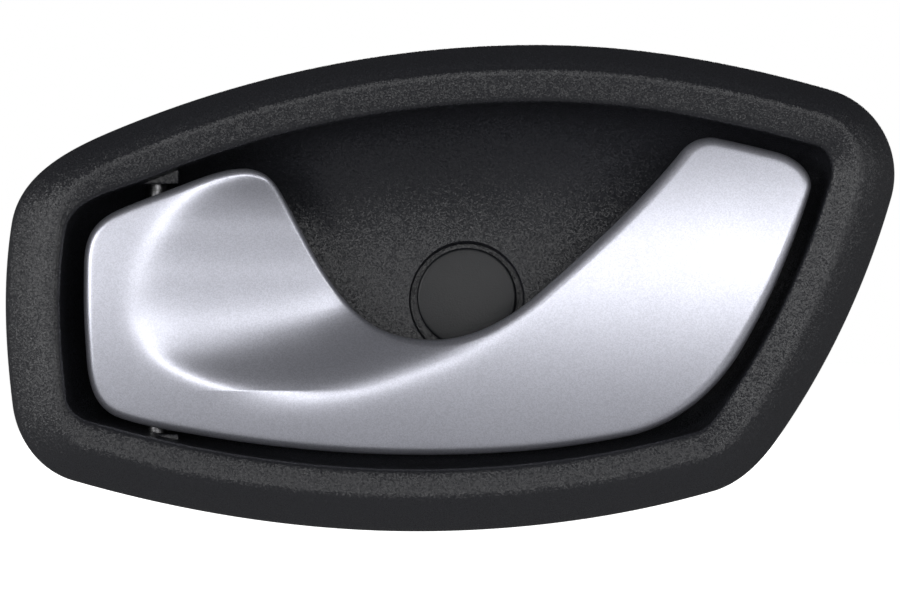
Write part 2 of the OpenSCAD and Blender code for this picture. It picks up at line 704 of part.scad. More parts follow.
// Housing: rim and bowl in one moulding, with the screw's boss, the hinge bosses, the cable's
// bracket, the stops' holders and the snap hooks on its back
module housing() {
    slot_left = stop_left - 0.8;
    slot_right = hinge_x + opened_x(arm_offset + arm_w / 2, floor_back) + 0.8;
    color("#2e2f31") difference() {
        union() {
            bezel_shell();
            on_screw(boss_d, floor_back - 1, pocket_floor + housing_wall);
            on_screw(sleeve_d + 2 * housing_wall, pocket_floor, -0.6);
            pin_block(upper_boss[0], upper_boss[1]);
            pin_block(lower_boss[0], lower_boss[1]);
            for (a = [0 : 60 : 300])
                rotate([0, a, 0]) translate([boss_d / 2 - 1, floor_back - 0.8, -rib_t / 2]) rotate([-90, 0, 0])
                    rotate([90, 0, 0]) linear_extrude(rib_t, center = false)
                        polygon([[0, 0], [8, 0], [8, 1.6], [0.6, 6], [0, 6]]);
            cable_bracket();
            stop_holders();
            for (h = hook_places) snap_hook(h[0] * bezel_w, h[1]);
        }
        on_screw(pocket_d, floor_y - 4, cap_back);
        on_screw(ledge_d, floor_y - 4, pocket_floor);
        on_screw(sleeve_d, floor_y - 4, 1);
        on_hinge(pin_bore, lower_boss[0] - 1, upper_boss[1] + 1);
        translate([slot_left, floor_y - 3, -arm_h / 2 - 1])
            cube([slot_right - slot_left, housing_wall + 3.1, arm_h + 2]);
    }
}

housing();
lever_cover();
lever_carrier();
hinge_pin();
pin_clip();
return_spring();
screw_cap();
screw_sleeve();
rest_stop();
open_stop();
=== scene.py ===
"""Interior door handle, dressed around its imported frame.

The bezel with its finger bowl, the painted pull lever, its black carrier, the screw cap and the
return spring are built here at full detail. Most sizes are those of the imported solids, and the
lever's face and left corners follow the photograph more closely. The hinge pin, its clip, the
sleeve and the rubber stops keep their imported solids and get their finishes.
Sizes are in millimetres until a mesh is written. X runs to the right, Z up, Y into the door.
"""

from __future__ import annotations

import logging
import math
from dataclasses import dataclass, field
from enum import Enum
from typing import Sequence

import bmesh
import bpy
import numpy as np
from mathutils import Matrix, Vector


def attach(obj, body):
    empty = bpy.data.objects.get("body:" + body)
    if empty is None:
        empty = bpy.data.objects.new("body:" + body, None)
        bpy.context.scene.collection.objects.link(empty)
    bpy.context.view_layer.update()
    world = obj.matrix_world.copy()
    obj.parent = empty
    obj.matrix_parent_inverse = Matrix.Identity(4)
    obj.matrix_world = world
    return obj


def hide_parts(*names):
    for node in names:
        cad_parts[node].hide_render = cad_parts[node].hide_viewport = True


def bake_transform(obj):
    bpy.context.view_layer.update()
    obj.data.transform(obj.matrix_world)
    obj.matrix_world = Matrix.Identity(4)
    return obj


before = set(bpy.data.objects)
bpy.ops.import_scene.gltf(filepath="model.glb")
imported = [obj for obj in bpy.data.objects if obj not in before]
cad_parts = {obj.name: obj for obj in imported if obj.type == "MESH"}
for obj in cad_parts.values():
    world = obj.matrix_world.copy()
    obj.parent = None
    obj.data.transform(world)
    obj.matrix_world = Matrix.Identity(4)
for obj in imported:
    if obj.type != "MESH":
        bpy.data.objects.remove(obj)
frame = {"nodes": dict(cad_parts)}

MM = 0.001
log = logging.getLogger("door_handle")


class Body(Enum):
    """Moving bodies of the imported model."""

    HOUSING = "housing_body"
    LEVER = "lever_body"


class Slot(Enum):
    """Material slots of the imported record."""

    GRAINED = "grained_plastic"
    SILVER = "silver_paint"
    BLACK = "black_plastic"
    PLATED = "plated_steel"
    SPRING = "spring_steel"
    CAP = "cap_plastic"
    RUBBER = "stop_rubber"


# Plane curves


def smooth(t: np.ndarray | float) -> np.ndarray:
    """Eases 0..1 with flat ends.

    Args:
        t: Share, clipped to 0..1.

    Returns:
        The eased share.
    """
    c = np.clip(t, 0.0, 1.0)
    return c * c * (3 - 2 * c)


def mix(a: np.ndarray | float, b: np.ndarray | float, t: np.ndarray | float) -> np.ndarray:
    """Blends a into b by share t.

    Args:
        a: Value at share 0.
        b: Value at share 1.
        t: Share.

    Returns:
        The blend.
    """
    return a + (b - a) * t


@dataclass(frozen=True)
class Knot:
    """A place that an outline passes, with its heading and the edge radius there."""

    x: float
    z: float
    heading: float
    radius: float = 0.0

    def turned(self) -> Knot:
        """The same knot, passed the other way."""
        return Knot(self.x, self.z, self.heading + 180, self.radius)

    @property
    def point(self) -> np.ndarray:
        """Place as an array."""
        return np.array([self.x, self.z])

    @property
    def ahead(self) -> np.ndarray:
        """Unit vector along the heading."""
        a = math.radians(self.heading)
        return np.array([math.cos(a), math.sin(a)])


def cubic(a: Knot, b: Knot, t: np.ndarray) -> np.ndarray:
    """Points of the cubic that leaves a and reaches b along their headings.

    Args:
        a: First knot.
        b: Last knot.
        t: Shares along the cubic.

    Returns:
        Rows of x, z, left normal x, left normal z, edge radius.
    """
    turn = b.heading - a.heading
    turn -= 360 * round(turn / 360)
    arm = np.linalg.norm(b.point - a.point) / (3 * math.cos(math.radians(turn / 4)) ** 2)
    p0, p1, p2, p3 = a.point, a.point + arm * a.ahead, b.point - arm * b.ahead, b.point
    t = np.asarray(t, float)[:, None]
    s = 1 - t
    p = s**3 * p0 + 3 * s * s * t * p1 + 3 * s * t * t * p2 + t**3 * p3
    d = s * s * (p1 - p0) + 2 * s * t * (p2 - p1) + t * t * (p3 - p2)
    d /= np.linalg.norm(d, axis=1)[:, None]
    return np.column_stack([p, -d[:, 1], d[:, 0], mix(a.radius, b.radius, t)])


def chain(knots: Sequence[Knot], counts: Sequence[int]) -> np.ndarray:
    """Points of a run of knots, the last knot included.

    Args:
        knots: Knots in order.
        counts: Number of steps from each knot to the next.

    Returns:
        Rows as cubic gives them.
    """
    parts = [cubic(knots[i], knots[i + 1], np.arange(n) / n) for i, n in enumerate(counts)]
    last = len(counts) - 1
    parts.append(cubic(knots[last], knots[last + 1], np.array([1.0])))
    return np.vstack(parts)


def side_blend(normals: np.ndarray, sides: Sequence[float]) -> np.ndarray:
    """Blends four side values by the direction of the inward normals.

    Args:
        normals: Rows of normal x, normal z.
        sides: Values at the left, right, bottom and top.

    Returns:
        One value per normal.
    """
    left, right, bottom, top = sides
    across = np.where(normals[:, 0] > 0, left, right)
    up = np.where(normals[:, 1] > 0, bottom, top)
    return normals[:, 0] ** 2 * across + normals[:, 1] ** 2 * up


def rounded(controls: np.ndarray, rounds: int) -> np.ndarray:
    """Cuts the corners of a run of control rows, which rounds them, and keeps its ends.

    Args:
        controls: Array whose first axis runs along the profile.
        rounds: How often the corners are cut.

    Returns:
        The longer, smoother run.
    """
    for _ in range(rounds):
        near = mix(controls[:-1], controls[1:], 0.25)
        far = mix(controls[:-1], controls[1:], 0.75)
        inner = np.stack([near, far], axis=1).reshape(-1, *controls.shape[1:])
        controls = np.concatenate([controls[:1], inner[1:-1], controls[-1:]])
    return controls


def crossings(line: np.ndarray, x: float) -> list[float]:
    """Heights at which a closed outline crosses a given x.

    Args:
        line: Rows that start with x, z.
        x: Where to look.

    Returns:
        The heights.
    """
    after = np.roll(line, -1, axis=0)
    return [
        float(mix(a[1], b[1], (x - a[0]) / (b[0] - a[0])))
        for a, b in zip(line, after)
        if (a[0] - x) * (b[0] - x) <= 0 and a[0] != b[0]
    ]


# Sizes


@dataclass(frozen=True)
class BezelSizes:
    """Sizes of the bezel and its bowl."""

    width: float = 168.0
    height: float = 91.8
    rims: tuple[float, float, float, float] = (10.4, 12.2, 11.8, 11.0)
    crest_shares: tuple[float, float, float, float] = (0.86, 0.56, 0.6, 0.5)
    crest_h: float = 5.0
    crest_fall: float = 1.0
    edge_h: float = 0.9
    crest_room: float = 1.6
    fall_shares: tuple[float, float, float, float] = (1, 4.2, 1, 1.8)
    lip_drop: float = 1.6
    wall: float = 2.2
    bowl_depth: float = 16.0
    boss_depth: float = 12.0
    bowl_middle: tuple[float, float] = (-0.02, 0.02)
    bowl_powers: tuple[float, float, float, float] = (6, 3.2, 3.6, 2.6)
    square_power: float = 9.0
    square_from: float = 0.35
    square_span: float = 0.16
    knots: tuple[tuple[float, float, float], ...] = (
        (-0.511, 0.157, -99), (-0.510, -0.215, -83), (-0.442, -0.371, -16),
        (-0.013, -0.474, 2), (0.276, -0.393, 16), (0.348, -0.286, 55), (0.476, 0.209, 74),
        (0.408, 0.432, 164), (0.098, 0.524, 179), (-0.382, 0.359, 202),
    )

    @property
    def trim_y(self) -> float:
        """Depth of the door trim's face."""
        return -self.boss_depth - self.bowl_depth

    @property
    def crest_y(self) -> float:
        """Depth of the rim's crest."""
        return self.trim_y - self.crest_h

    @property
    def floor_y(self) -> float:
        """Depth of the bowl's floor."""
        return -self.boss_depth

    @property
    def left(self) -> float:
        """Left end of the bezel."""
        return self.width * -0.518

    def knot(self, i: int) -> Knot:
        """Knot i of the outline, counted round."""
        x, z, heading = self.knots[i % len(self.knots)]
        return Knot(x * self.width, z * self.height, heading)

    def inner_knot(self, i: int, t: float, gaps: Sequence[float], radius: float = 0.0) -> Knot:
        """The outline at share t of stretch i, moved in by the rim and a gap.

        Args:
            i: Stretch of the outline.
            t: Share along it.
            gaps: Further insets at the left, right, bottom and top.
            radius: Edge radius that the knot carries.

        Returns:
            The moved knot.
        """
        x, z, nx, nz = cubic(self.knot(i), self.knot(i + 1), np.array([t]))[0, :4]
        n = np.array([[nx, nz]])
        inset = float((side_blend(n, self.rims) + side_blend(n, gaps))[0])
        return Knot(x + nx * inset, z + nz * inset, math.degrees(math.atan2(-nx, nz)), radius)


@dataclass(frozen=True)
class LeverSizes:
    """Sizes of the pull lever's painted cover."""

    gaps: tuple[float, float, float, float] = (3.0, 3.0, 2.1, 3.0)
    inset: float = 2.8
    rise: float = 3.0
    crown: float = 3.4
    crown_z: float = 2.5
    left_from: float = -52.0
    left_crown: float = 1.4
    right_from: float = 28.0
    right_crown: float = 0.6
    ramp: float = 0.255
    wall_slope: float = 0.84
    valley: float = 2.2
    ridge_roll: tuple[float, float] = (0.34, 1.15)
    roll_from: float = -62.0
    roll_span: float = 30.0
    wall: float = 1.8
    lip: float = 3.4
    lip_edge: float = 0.2
    edge_plain: float = 1.5
    edge_swoosh: float = 2.0
    edge_grip: float = 1.6
    edge_scoop: float = 0.8


@dataclass(frozen=True)
class HingeSizes:
    """Sizes of the hinge, its pin and the return spring."""

    inset: float = 28.3
    depth: float = 12.9
    pin_d: float = 4.0
    pin_play: float = 0.1
    boss_d: float = 8.4
    boss_len: float = 5.0
    boss_gap: float = 0.5
    open_angle: float = 20.0
    wire: float = 1.0
    turns: int = 6
    leg: float = 10.0
    coil_from: float = -6.0


@dataclass(frozen=True)
class ScrewSizes:
    """Sizes of the screw's boss with its ribs, and of its cap."""

    hole_d: float = 6.6
    sleeve_wall: float = 1.4
    sleeve_len: float = 4.6
    cap_d: float = 19.0
    cap_t: float = 1.6
    cap_gap: float = 1.2
    cap_sink: float = 0.1
    ledge: float = 1.1
    rib_count: int = 6
    rib_t: float = 1.4
    rib_reach: float = 8.0
    rib_h: float = 6.0
    rib_tip_h: float = 1.6
    rib_edge: float = 0.15

    @property
    def pocket_d(self) -> float:
        """Diameter of the cap's pocket."""
        return self.cap_d + 2 * self.cap_gap

    @property
    def ledge_d(self) -> float:
        """Diameter inside the ledge under the cap."""
        return self.pocket_d - 2 * self.ledge - 2 * self.cap_gap

    @property
    def sleeve_d(self) -> float:
        """Outer diameter of the sleeve."""
        return self.hole_d + 2 * self.sleeve_wall


@dataclass(frozen=True)
class ArmSizes:
    """Sizes of the cable arm, its stops, the cable's bracket and the snap hooks."""

    width: float = 6.0
    height: float = 8.0
    reach: float = 23.0
    offset: float = 15.5
    stop_t: float = 3.0
    stop_gap: float = 0.3
    stop_len: float = 5.0
    holder_t: float = 2.0
    sheath_d: float = 6.0
    bracket_offset: float = 9.0
    bracket_t: float = 4.0
    bracket_w: float = 14.0
    edge: float = 0.3
    hook_w: float = 8.0
    hook_t: float = 1.8
    trim_t: float = 2.6
    hook_places: tuple[tuple[float, int], ...] = ((-0.17, 1), (0.24, 1), (-0.2, -1), (0.17, -1))


# Meshes


@dataclass
class MeshSketch:
    """Points and faces gathered for one closed mesh, in millimetres."""

    points: list[np.ndarray] = field(default_factory=list)
    faces: list[tuple[int, ...]] = field(default_factory=list)
    count: int = 0

    def add(self, points: np.ndarray) -> np.ndarray:
        """Adds rows of x, y, z.

        Args:
            points: The rows.

        Returns:
            Their indices.
        """
        self.points.append(np.asarray(points, float))
        first = self.count
        self.count += len(points)
        return np.arange(first, self.count)

    def bridge(self, a: np.ndarray, b: np.ndarray) -> None:
        """Joins two closed rings of indices by quads.

        Args:
            a: First ring.
            b: Second ring, of the same length.
        """
        quads = np.column_stack([a, b, np.roll(b, -1), np.roll(a, -1)])
        self.faces.extend(map(tuple, quads.tolist()))

    def cap(self, ring: np.ndarray) -> None:
        """Closes a ring of indices by one face.

        Args:
            ring: The ring.
        """
        self.faces.append(tuple(int(i) for i in ring))

    def grid(self, points: np.ndarray) -> np.ndarray:
        """Adds a grid of points with its quads.

        Args:
            points: Array of columns by rows by 3.

        Returns:
            The indices, as columns by rows.
        """
        cols, rows = points.shape[:2]
        ids = self.add(points.reshape(-1, 3)).reshape(cols, rows)
        quads = np.stack([ids[:-1, :-1], ids[1:, :-1], ids[1:, 1:], ids[:-1, 1:]], axis=-1)
        self.faces.extend(map(tuple, quads.reshape(-1, 4).tolist()))
        return ids

    def build(self, name: str, sharp: float = 35.0) -> bpy.types.Object:
        """Writes the mesh as an object at the origin, with its faces outwards.

        Args:
            name: Name of the object.
            sharp: Angle in degrees past which an edge is drawn sharp.

        Returns:
            The object.
        """
        mesh = bpy.data.meshes.new(name)
        mesh.from_pydata((np.vstack(self.points) * MM).tolist(), [], self.faces)
        obj = put_in_scene(name, mesh)
        face_outwards(mesh)
        shade(mesh, sharp)
        return obj


def put_in_scene(name: str, data: bpy.types.ID) -> bpy.types.Object:
    """Puts a new object in the scene, at the origin.

    Args:
        name: Name of the object.
        data: Its mesh, lamp or camera.

    Returns:
        The object.
    """
    obj = bpy.data.objects.new(name, data)
    bpy.context.scene.collection.objects.link(obj)
    return obj


def face_outwards(mesh: bpy.types.Mesh) -> None:
    """Turns the faces of a closed mesh outwards.

    Args:
        mesh: The mesh.
    """
    work = bmesh.new()
    work.from_mesh(mesh)
    bmesh.ops.recalc_face_normals(work, faces=work.faces[:])
    work.to_mesh(mesh)
    work.free()


def shade(mesh: bpy.types.Mesh, sharp: float) -> None:
    """Shades a mesh smooth, with sharp edges past an angle.

    Args:
        mesh: The mesh.
        sharp: The angle in degrees.
    """
    mesh.shade_smooth()
    mesh.set_sharp_from_angle(angle=math.radians(sharp))


def ring_rim(ids: np.ndarray) -> np.ndarray:
    """The rim of a grid's indices, once round.

    Args:
        ids: Indices as columns by rows.

    Returns:
        The closed ring of indices.
    """
    return np.concatenate([ids[:-1, 0], ids[-1, :-1], ids[:0:-1, -1], ids[0, :0:-1]])


def once_round(steps: int) -> np.ndarray:
    """Angles of equal steps, once round."""
    return np.arange(steps) * math.tau / steps


def rectangle(left: float, right: float, low: float, high: float) -> list[tuple[float, float]]:
    """Corners of a rectangle, in order."""
    return [(left, low), (right, low), (right, high), (left, high)]


def lathe(name: str, profile: Sequence[tuple[float, float]], steps: int = 96) -> bpy.types.Object:
    """Turns a closed profile round the Y axis.

    Args:
        name: Name of the object.
        profile: Radius and depth pairs, from the axis round to the axis.
        steps: Number of steps round.

    Returns:
        The object.
    """
    sketch = MeshSketch()
    turn = once_round(steps)
    rings = []
    for radius, depth in profile:
        ring = np.column_stack([radius * np.cos(turn), np.full(steps, depth), radius * np.sin(turn)])
        rings.append(sketch.add(ring if radius > 0 else ring[:1]))
    for a, b in zip(rings, rings[1:]):
        if len(a) == 1 or len(b) == 1:
            tip, ring = (a, b) if len(a) == 1 else (b, a)
            for i in range(steps):
                sketch.faces.append((int(tip[0]), int(ring[i]), int(ring[(i + 1) % steps])))
        else:
            sketch.bridge(a, b)
    return sketch.build(name)


def prism(
    name: str, outline: Sequence[Sequence[float]], axis: str, start: float, end: float, edge: float = 0.0
) -> bpy.types.Object:
    """A flat outline pushed along an axis.

    Args:
        name: Name of the object.
        outline: Pairs in the plane across the axis: x, y for Z; y, z for X; x, z for Y.
        axis: Axis that it is pushed along.
        start: Where it begins.
        end: Where it ends.
        edge: Width of the small bevel on its edges.

    Returns:
        The object.
    """
    place = {
        "Z": lambda p, d: (p[0], p[1], d),
        "X": lambda p, d: (d, p[0], p[1]),
        "Y": lambda p, d: (p[0], d, p[1]),
    }[axis]
    sketch = MeshSketch()
    low = sketch.add(np.array([place(p, start) for p in outline]))
    high = sketch.add(np.array([place(p, end) for p in outline]))
    sketch.cap(low[::-1])
    sketch.cap(high)
    sketch.bridge(low, high)
    obj = sketch.build(name)
    if edge:
        work = bmesh.new()
        work.from_mesh(obj.data)
        bmesh.ops.bevel(
            work, geom=work.edges[:], offset=edge * MM, segments=2, profile=0.5, affect="EDGES"
        )
        work.to_mesh(obj.data)
        work.free()
        face_outwards(obj.data)
    return obj


def cylinder(
    name: str, axis: str, middle: Sequence[float], d: float, start: float, end: float, steps: int = 72
) -> bpy.types.Object:
    """A closed cylinder along an axis.

    Args:
        name: Name of the object.
        axis: Axis that it runs along.
        middle: Pair across the axis, as prism takes it.
        d: Diameter.
        start: Where it begins.
        end: Where it ends.
        steps: Number of steps round.

    Returns:
        The object.
    """
    outline = [
        (middle[0] + d / 2 * math.cos(a), middle[1] + d / 2 * math.sin(a)) for a in once_round(steps)
    ]
    return prism(name, outline, axis, start, end)


def combine(target: bpy.types.Object, tool: bpy.types.Object, operation: str) -> None:
    """Adds a closed mesh to another or cuts it out, and removes the tool.

    Args:
        target: Mesh that is changed.
        tool: Mesh that is added or cut out.
        operation: UNION or DIFFERENCE.
    """
    modifier = target.modifiers.new("combine", "BOOLEAN")
    modifier.operation = operation
    modifier.solver = "MANIFOLD"
    modifier.object = tool
    bake_modifiers(target)
    bpy.data.objects.remove(tool)


def bake_modifiers(obj: bpy.types.Object) -> None:
    """Replaces an object's mesh by its evaluated one and removes its modifiers.

    Args:
        obj: The object.
    """
    graph = bpy.context.evaluated_depsgraph_get()
    made = bpy.data.meshes.new_from_object(obj.evaluated_get(graph))
    obj.modifiers.clear()
    old = obj.data
    obj.data = made
    made.name = obj.name
    bpy.data.meshes.remove(old)


# Finishes


@dataclass
class NodeSketch:
    """A node tree that is laid down one call at a time."""

    name: str
    tree: bpy.types.NodeTree = field(init=False)

    def node(self, kind: str, **settings: object) -> bpy.types.Node:
        """Adds a node.

        Args:
            kind: Blender's name of the node type.
            settings: Properties to set on it.

        Returns:
            The node.
        """
        made = self.tree.nodes.new(kind)
        for key, value in settings.items():
            setattr(made, key, value)
        return made

    def link(self, source: bpy.types.NodeSocket, target: bpy.types.NodeSocket) -> None:
        """Joins two sockets."""
        self.tree.links.new(source, target)


@dataclass
class ShaderSketch(NodeSketch):
    """A material's nodes, with its output and main shader."""

    def __post_init__(self) -> None:
        """Makes the material with its output and main shader."""
        self.material = bpy.data.materials.new(self.name)
        self.material.use_nodes = True
        self.tree = self.material.node_tree
        self.tree.nodes.clear()
        self.output = self.node("ShaderNodeOutputMaterial")
        self.shader = self.node("ShaderNodeBsdfPrincipled")
        self.link(self.shader.outputs["BSDF"], self.output.inputs["Surface"])
        self.place = self.node("ShaderNodeTexCoord").outputs["Object"]

    def noise(self, scale: float, detail: float, roughness: float = 0.5) -> bpy.types.NodeSocket:
        """Noise on object coordinates.

        Args:
            scale: Cells per metre.
            detail: Octaves.
            roughness: Weight of the finer octaves.

        Returns:
            Its value.
        """
        made = self.node("ShaderNodeTexNoise")
        made.inputs["Scale"].default_value = scale
        made.inputs["Detail"].default_value = detail
        made.inputs["Roughness"].default_value = roughness
        self.link(self.place, made.inputs["Vector"])
        return made.outputs["Fac"]

    def cells(self, scale: float, feature: str = "F1") -> bpy.types.Node:
        """Cells on object coordinates.

        Args:
            scale: Cells per metre.
            feature: Which distance is given.

        Returns:
            The node.
        """
        made = self.node("ShaderNodeTexVoronoi", feature=feature)
        made.inputs["Scale"].default_value = scale
        self.link(self.place, made.inputs["Vector"])
        return made

    def spread(
        self, source: bpy.types.NodeSocket, low: float, high: float, start: float = 0.0, end: float = 1.0
    ) -> bpy.types.NodeSocket:
        """Maps a value from start..end to low..high.

        Args:
            source: The value.
            low: Result at start.
            high: Result at end.
            start: Lower end of the value.
            end: Upper end of the value.

        Returns:
            The mapped value.
        """
        made = self.node("ShaderNodeMapRange")
        self.link(source, made.inputs["Value"])
        made.inputs["From Min"].default_value = start
        made.inputs["From Max"].default_value = end
        made.inputs["To Min"].default_value = low
        made.inputs["To Max"].default_value = high
        return made.outputs["Result"]

    def tint(
        self,
        source: bpy.types.NodeSocket,
        dark: Sequence[float],
        light: Sequence[float],
        start: float = 0.3,
        end: float = 0.7,
    ) -> bpy.types.NodeSocket:
        """A colour that runs from dark to light with a value.

        Args:
            source: The value.
            dark: Colour at start.
            light: Colour at end.
            start: Lower end of the value.
            end: Upper end of the value.

        Returns:
            The colour.
        """
        ramp = self.node("ShaderNodeValToRGB")
        ramp.color_ramp.elements[0].position = start
        ramp.color_ramp.elements[0].color = (*dark, 1)
        ramp.color_ramp.elements[1].position = end
        ramp.color_ramp.elements[1].color = (*light, 1)
        self.link(source, ramp.inputs["Fac"])
        return ramp.outputs["Color"]

    def relief(
        self,
        height: bpy.types.NodeSocket,
        depth: float,
        strength: float = 1.0,
        under: bpy.types.NodeSocket | None = None,
    ) -> bpy.types.NodeSocket:
        """Bumps the surface by a height.

        Args:
            height: Height from 0 to 1.
            depth: Depth of the relief in metres.
            strength: Share of the relief that is shown.
            under: Normal that the relief is laid on.

        Returns:
            The bumped normal.
        """
        bump = self.node("ShaderNodeBump")
        bump.inputs["Distance"].default_value = depth
        bump.inputs["Strength"].default_value = strength
        self.link(height, bump.inputs["Height"])
        if under is not None:
            self.link(under, bump.inputs["Normal"])
        return bump.outputs["Normal"]

    def facets(self, scale: float, tilt: float) -> bpy.types.NodeSocket:
        """Tips the surface by a random amount in each cell, so that it glints.

        Args:
            scale: Cells per metre.
            tilt: Length of the longest sideways push on the unit normal.

        Returns:
            The tipped normal.
        """
        push = self.node("ShaderNodeVectorMath", operation="MULTIPLY_ADD")
        self.link(self.cells(scale).outputs["Color"], push.inputs[0])
        push.inputs[1].default_value = (2 * tilt,) * 3
        push.inputs[2].default_value = (-tilt,) * 3
        total = self.node("ShaderNodeVectorMath", operation="ADD")
        self.link(push.outputs[0], total.inputs[0])
        self.link(self.node("ShaderNodeNewGeometry").outputs["Normal"], total.inputs[1])
        unit = self.node("ShaderNodeVectorMath", operation="NORMALIZE")
        self.link(total.outputs[0], unit.inputs[0])
        return unit.outputs[0]

    def set(self, **values: float) -> None:
        """Sets the main shader's own sockets; a name's underscores stand for spaces."""
        for key, value in values.items():
            self.shader.inputs[key.replace("_", " ")].default_value = value


@dataclass(frozen=True)
class GrainedPlastic:
    """Dark moulded plastic with a fine spark-eroded grain."""

    name: str = "grained_charcoal_plastic"
    dark: tuple[float, float, float] = (0.014, 0.0145, 0.0175)
    light: tuple[float, float, float] = (0.026, 0.027, 0.033)
    grain: float = 4000.0
    depth: float = 0.00006
    glint: float = 0.17
    roughness: tuple[float, float] = (0.22, 0.42)
    fine_share: float = 2.2
    blotch_scale: float = 55.0
    blotch: tuple[float, float] = (0.8, 1.2)
    bump: float = 0.5
    gloss: float = 0.55

    def build(self) -> bpy.types.Material:
        """Makes the material.

        Returns:
            The material.
        """
        sketch = ShaderSketch(self.name)
        pebbles = sketch.cells(self.grain, "SMOOTH_F1").outputs["Distance"]
        fine = sketch.noise(self.grain * self.fine_share, 3, 0.6)
        broad = sketch.noise(self.blotch_scale, 3)
        sketch.link(sketch.tint(fine, self.dark, self.light), sketch.shader.inputs["Base Color"])
        blotch = sketch.node("ShaderNodeMath", operation="MULTIPLY")
        sketch.link(fine, blotch.inputs[0])
        sketch.link(sketch.spread(broad, *self.blotch), blotch.inputs[1])
        rough = sketch.spread(blotch.outputs[0], *self.roughness, 0.3, 0.7)
        sketch.link(rough, sketch.shader.inputs["Roughness"])
        first = sketch.relief(pebbles, self.depth, self.bump, sketch.facets(self.grain, self.glint))
        sketch.link(sketch.relief(fine, self.depth, self.bump, first), sketch.shader.inputs["Normal"])
        sketch.set(Specular_IOR_Level=self.gloss)
        return sketch.material


@dataclass(frozen=True)
class SilverPaint:
    """Satin metallic paint with fine aluminium flake."""

    name: str = "satin_silver_paint"
    dark: tuple[float, float, float] = (0.61, 0.62, 0.70)
    light: tuple[float, float, float] = (0.73, 0.74, 0.83)
    flake: float = 5200.0
    flake_depth: float = 0.00003
    cloud: float = 70.0
    roughness: tuple[float, float] = (0.32, 0.38)
    peel: float = 900.0
    peel_depth: float = 0.00002
    bump: float = 0.25
    metal: float = 0.85
    coat: float = 0.25
    coat_roughness: float = 0.28

    def build(self) -> bpy.types.Material:
        """Makes the material.

        Returns:
            The material.
        """
        sketch = ShaderSketch(self.name)
        flakes = sketch.cells(self.flake)
        lone = sketch.node("ShaderNodeSeparateColor")
        sketch.link(flakes.outputs["Color"], lone.inputs["Color"])
        sketch.link(
            sketch.tint(lone.outputs["Red"], self.dark, self.light, 0.1, 0.9),
            sketch.shader.inputs["Base Color"],
        )
        cloud = sketch.noise(self.cloud, 4)
        sketch.link(sketch.spread(cloud, *self.roughness), sketch.shader.inputs["Roughness"])
        tilted = sketch.relief(lone.outputs["Green"], self.flake_depth, self.bump)
        peel = sketch.noise(self.peel, 2)
        peeled = sketch.relief(peel, self.peel_depth, self.bump, tilted)
        sketch.link(peeled, sketch.shader.inputs["Normal"])
        sketch.set(Metallic=self.metal, Coat_Weight=self.coat, Coat_Roughness=self.coat_roughness)
        return sketch.material


@dataclass(frozen=True)
class SatinPlastic:
    """Dark plastic without a moulded grain, with slight flow marks."""

    name: str
    dark: tuple[float, float, float]
    light: tuple[float, float, float]
    roughness: tuple[float, float]
    grain: float = 1500.0
    depth: float = 0.00003
    flow: float = 90.0
    bump: float = 0.5

    def build(self) -> bpy.types.Material:
        """Makes the material.

        Returns:
            The material.
        """
        sketch = ShaderSketch(self.name)
        fine = sketch.noise(self.grain, 4, 0.6)
        broad = sketch.noise(self.flow, 3)
        sketch.link(sketch.tint(broad, self.dark, self.light), sketch.shader.inputs["Base Color"])
        sketch.link(sketch.spread(broad, *self.roughness), sketch.shader.inputs["Roughness"])
        sketch.link(sketch.relief(fine, self.depth, self.bump), sketch.shader.inputs["Normal"])
        return sketch.material


@dataclass(frozen=True)
class TurnedSteel:
    """Plated or drawn steel, with fine marks along one way."""

    name: str
    dark: tuple[float, float, float]
    light: tuple[float, float, float]
    stretch: tuple[float, float, float]
    roughness: tuple[float, float] = (0.24, 0.42)
    marks: float = 1000.0
    depth: float = 0.00003
    bump: float = 0.4

    def build(self) -> bpy.types.Material:
        """Makes the material.

        Returns:
            The material.
        """
        sketch = ShaderSketch(self.name)
        mapping = sketch.node("ShaderNodeMapping")
        mapping.inputs["Scale"].default_value = self.stretch
        sketch.link(sketch.place, mapping.inputs["Vector"])
        sketch.place = mapping.outputs["Vector"]
        marks = sketch.noise(self.marks, 5, 0.65)
        sketch.link(sketch.tint(marks, self.dark, self.light), sketch.shader.inputs["Base Color"])
        sketch.link(sketch.spread(marks, *self.roughness), sketch.shader.inputs["Roughness"])
        sketch.link(sketch.relief(marks, self.depth, self.bump), sketch.shader.inputs["Normal"])
        sketch.set(Metallic=1.0)
        return sketch.material


@dataclass(frozen=True)
class FinishSet:
    """Every finish of the handle, ready to be put on."""

    grained: bpy.types.Material
    silver: bpy.types.Material
    black: bpy.types.Material
    cap: bpy.types.Material
    plated: bpy.types.Material
    spring: bpy.types.Material
    rubber: bpy.types.Material

    @staticmethod
    def build() -> FinishSet:
        """Makes all the finishes.

        Returns:
            The set.
        """
        return FinishSet(
            grained=GrainedPlastic().build(),
            silver=SilverPaint().build(),
            black=SatinPlastic(
                "black_carrier_plastic", (0.012, 0.012, 0.013), (0.022, 0.022, 0.024), (0.45, 0.6)
            ).build(),
            cap=SatinPlastic(
                "charcoal_cap_plastic", (0.006, 0.007, 0.009), (0.011, 0.012, 0.015), (0.36, 0.46),
                grain=3200.0, depth=0.00008,
            ).build(),
            plated=TurnedSteel(
                "plated_pin_steel", (0.09, 0.09, 0.09), (0.22, 0.22, 0.23), (0.4, 0.4, 3.0)
            ).build(),
            spring=TurnedSteel(
                "drawn_spring_wire", (0.34, 0.34, 0.36), (0.58, 0.58, 0.60), (1.0, 1.0, 1.0)
            ).build(),
            rubber=SatinPlastic(
                "stop_rubber", (0.010, 0.010, 0.010), (0.020, 0.020, 0.020), (0.7, 0.85),
                grain=900.0, depth=0.00006,
            ).build(),
        )


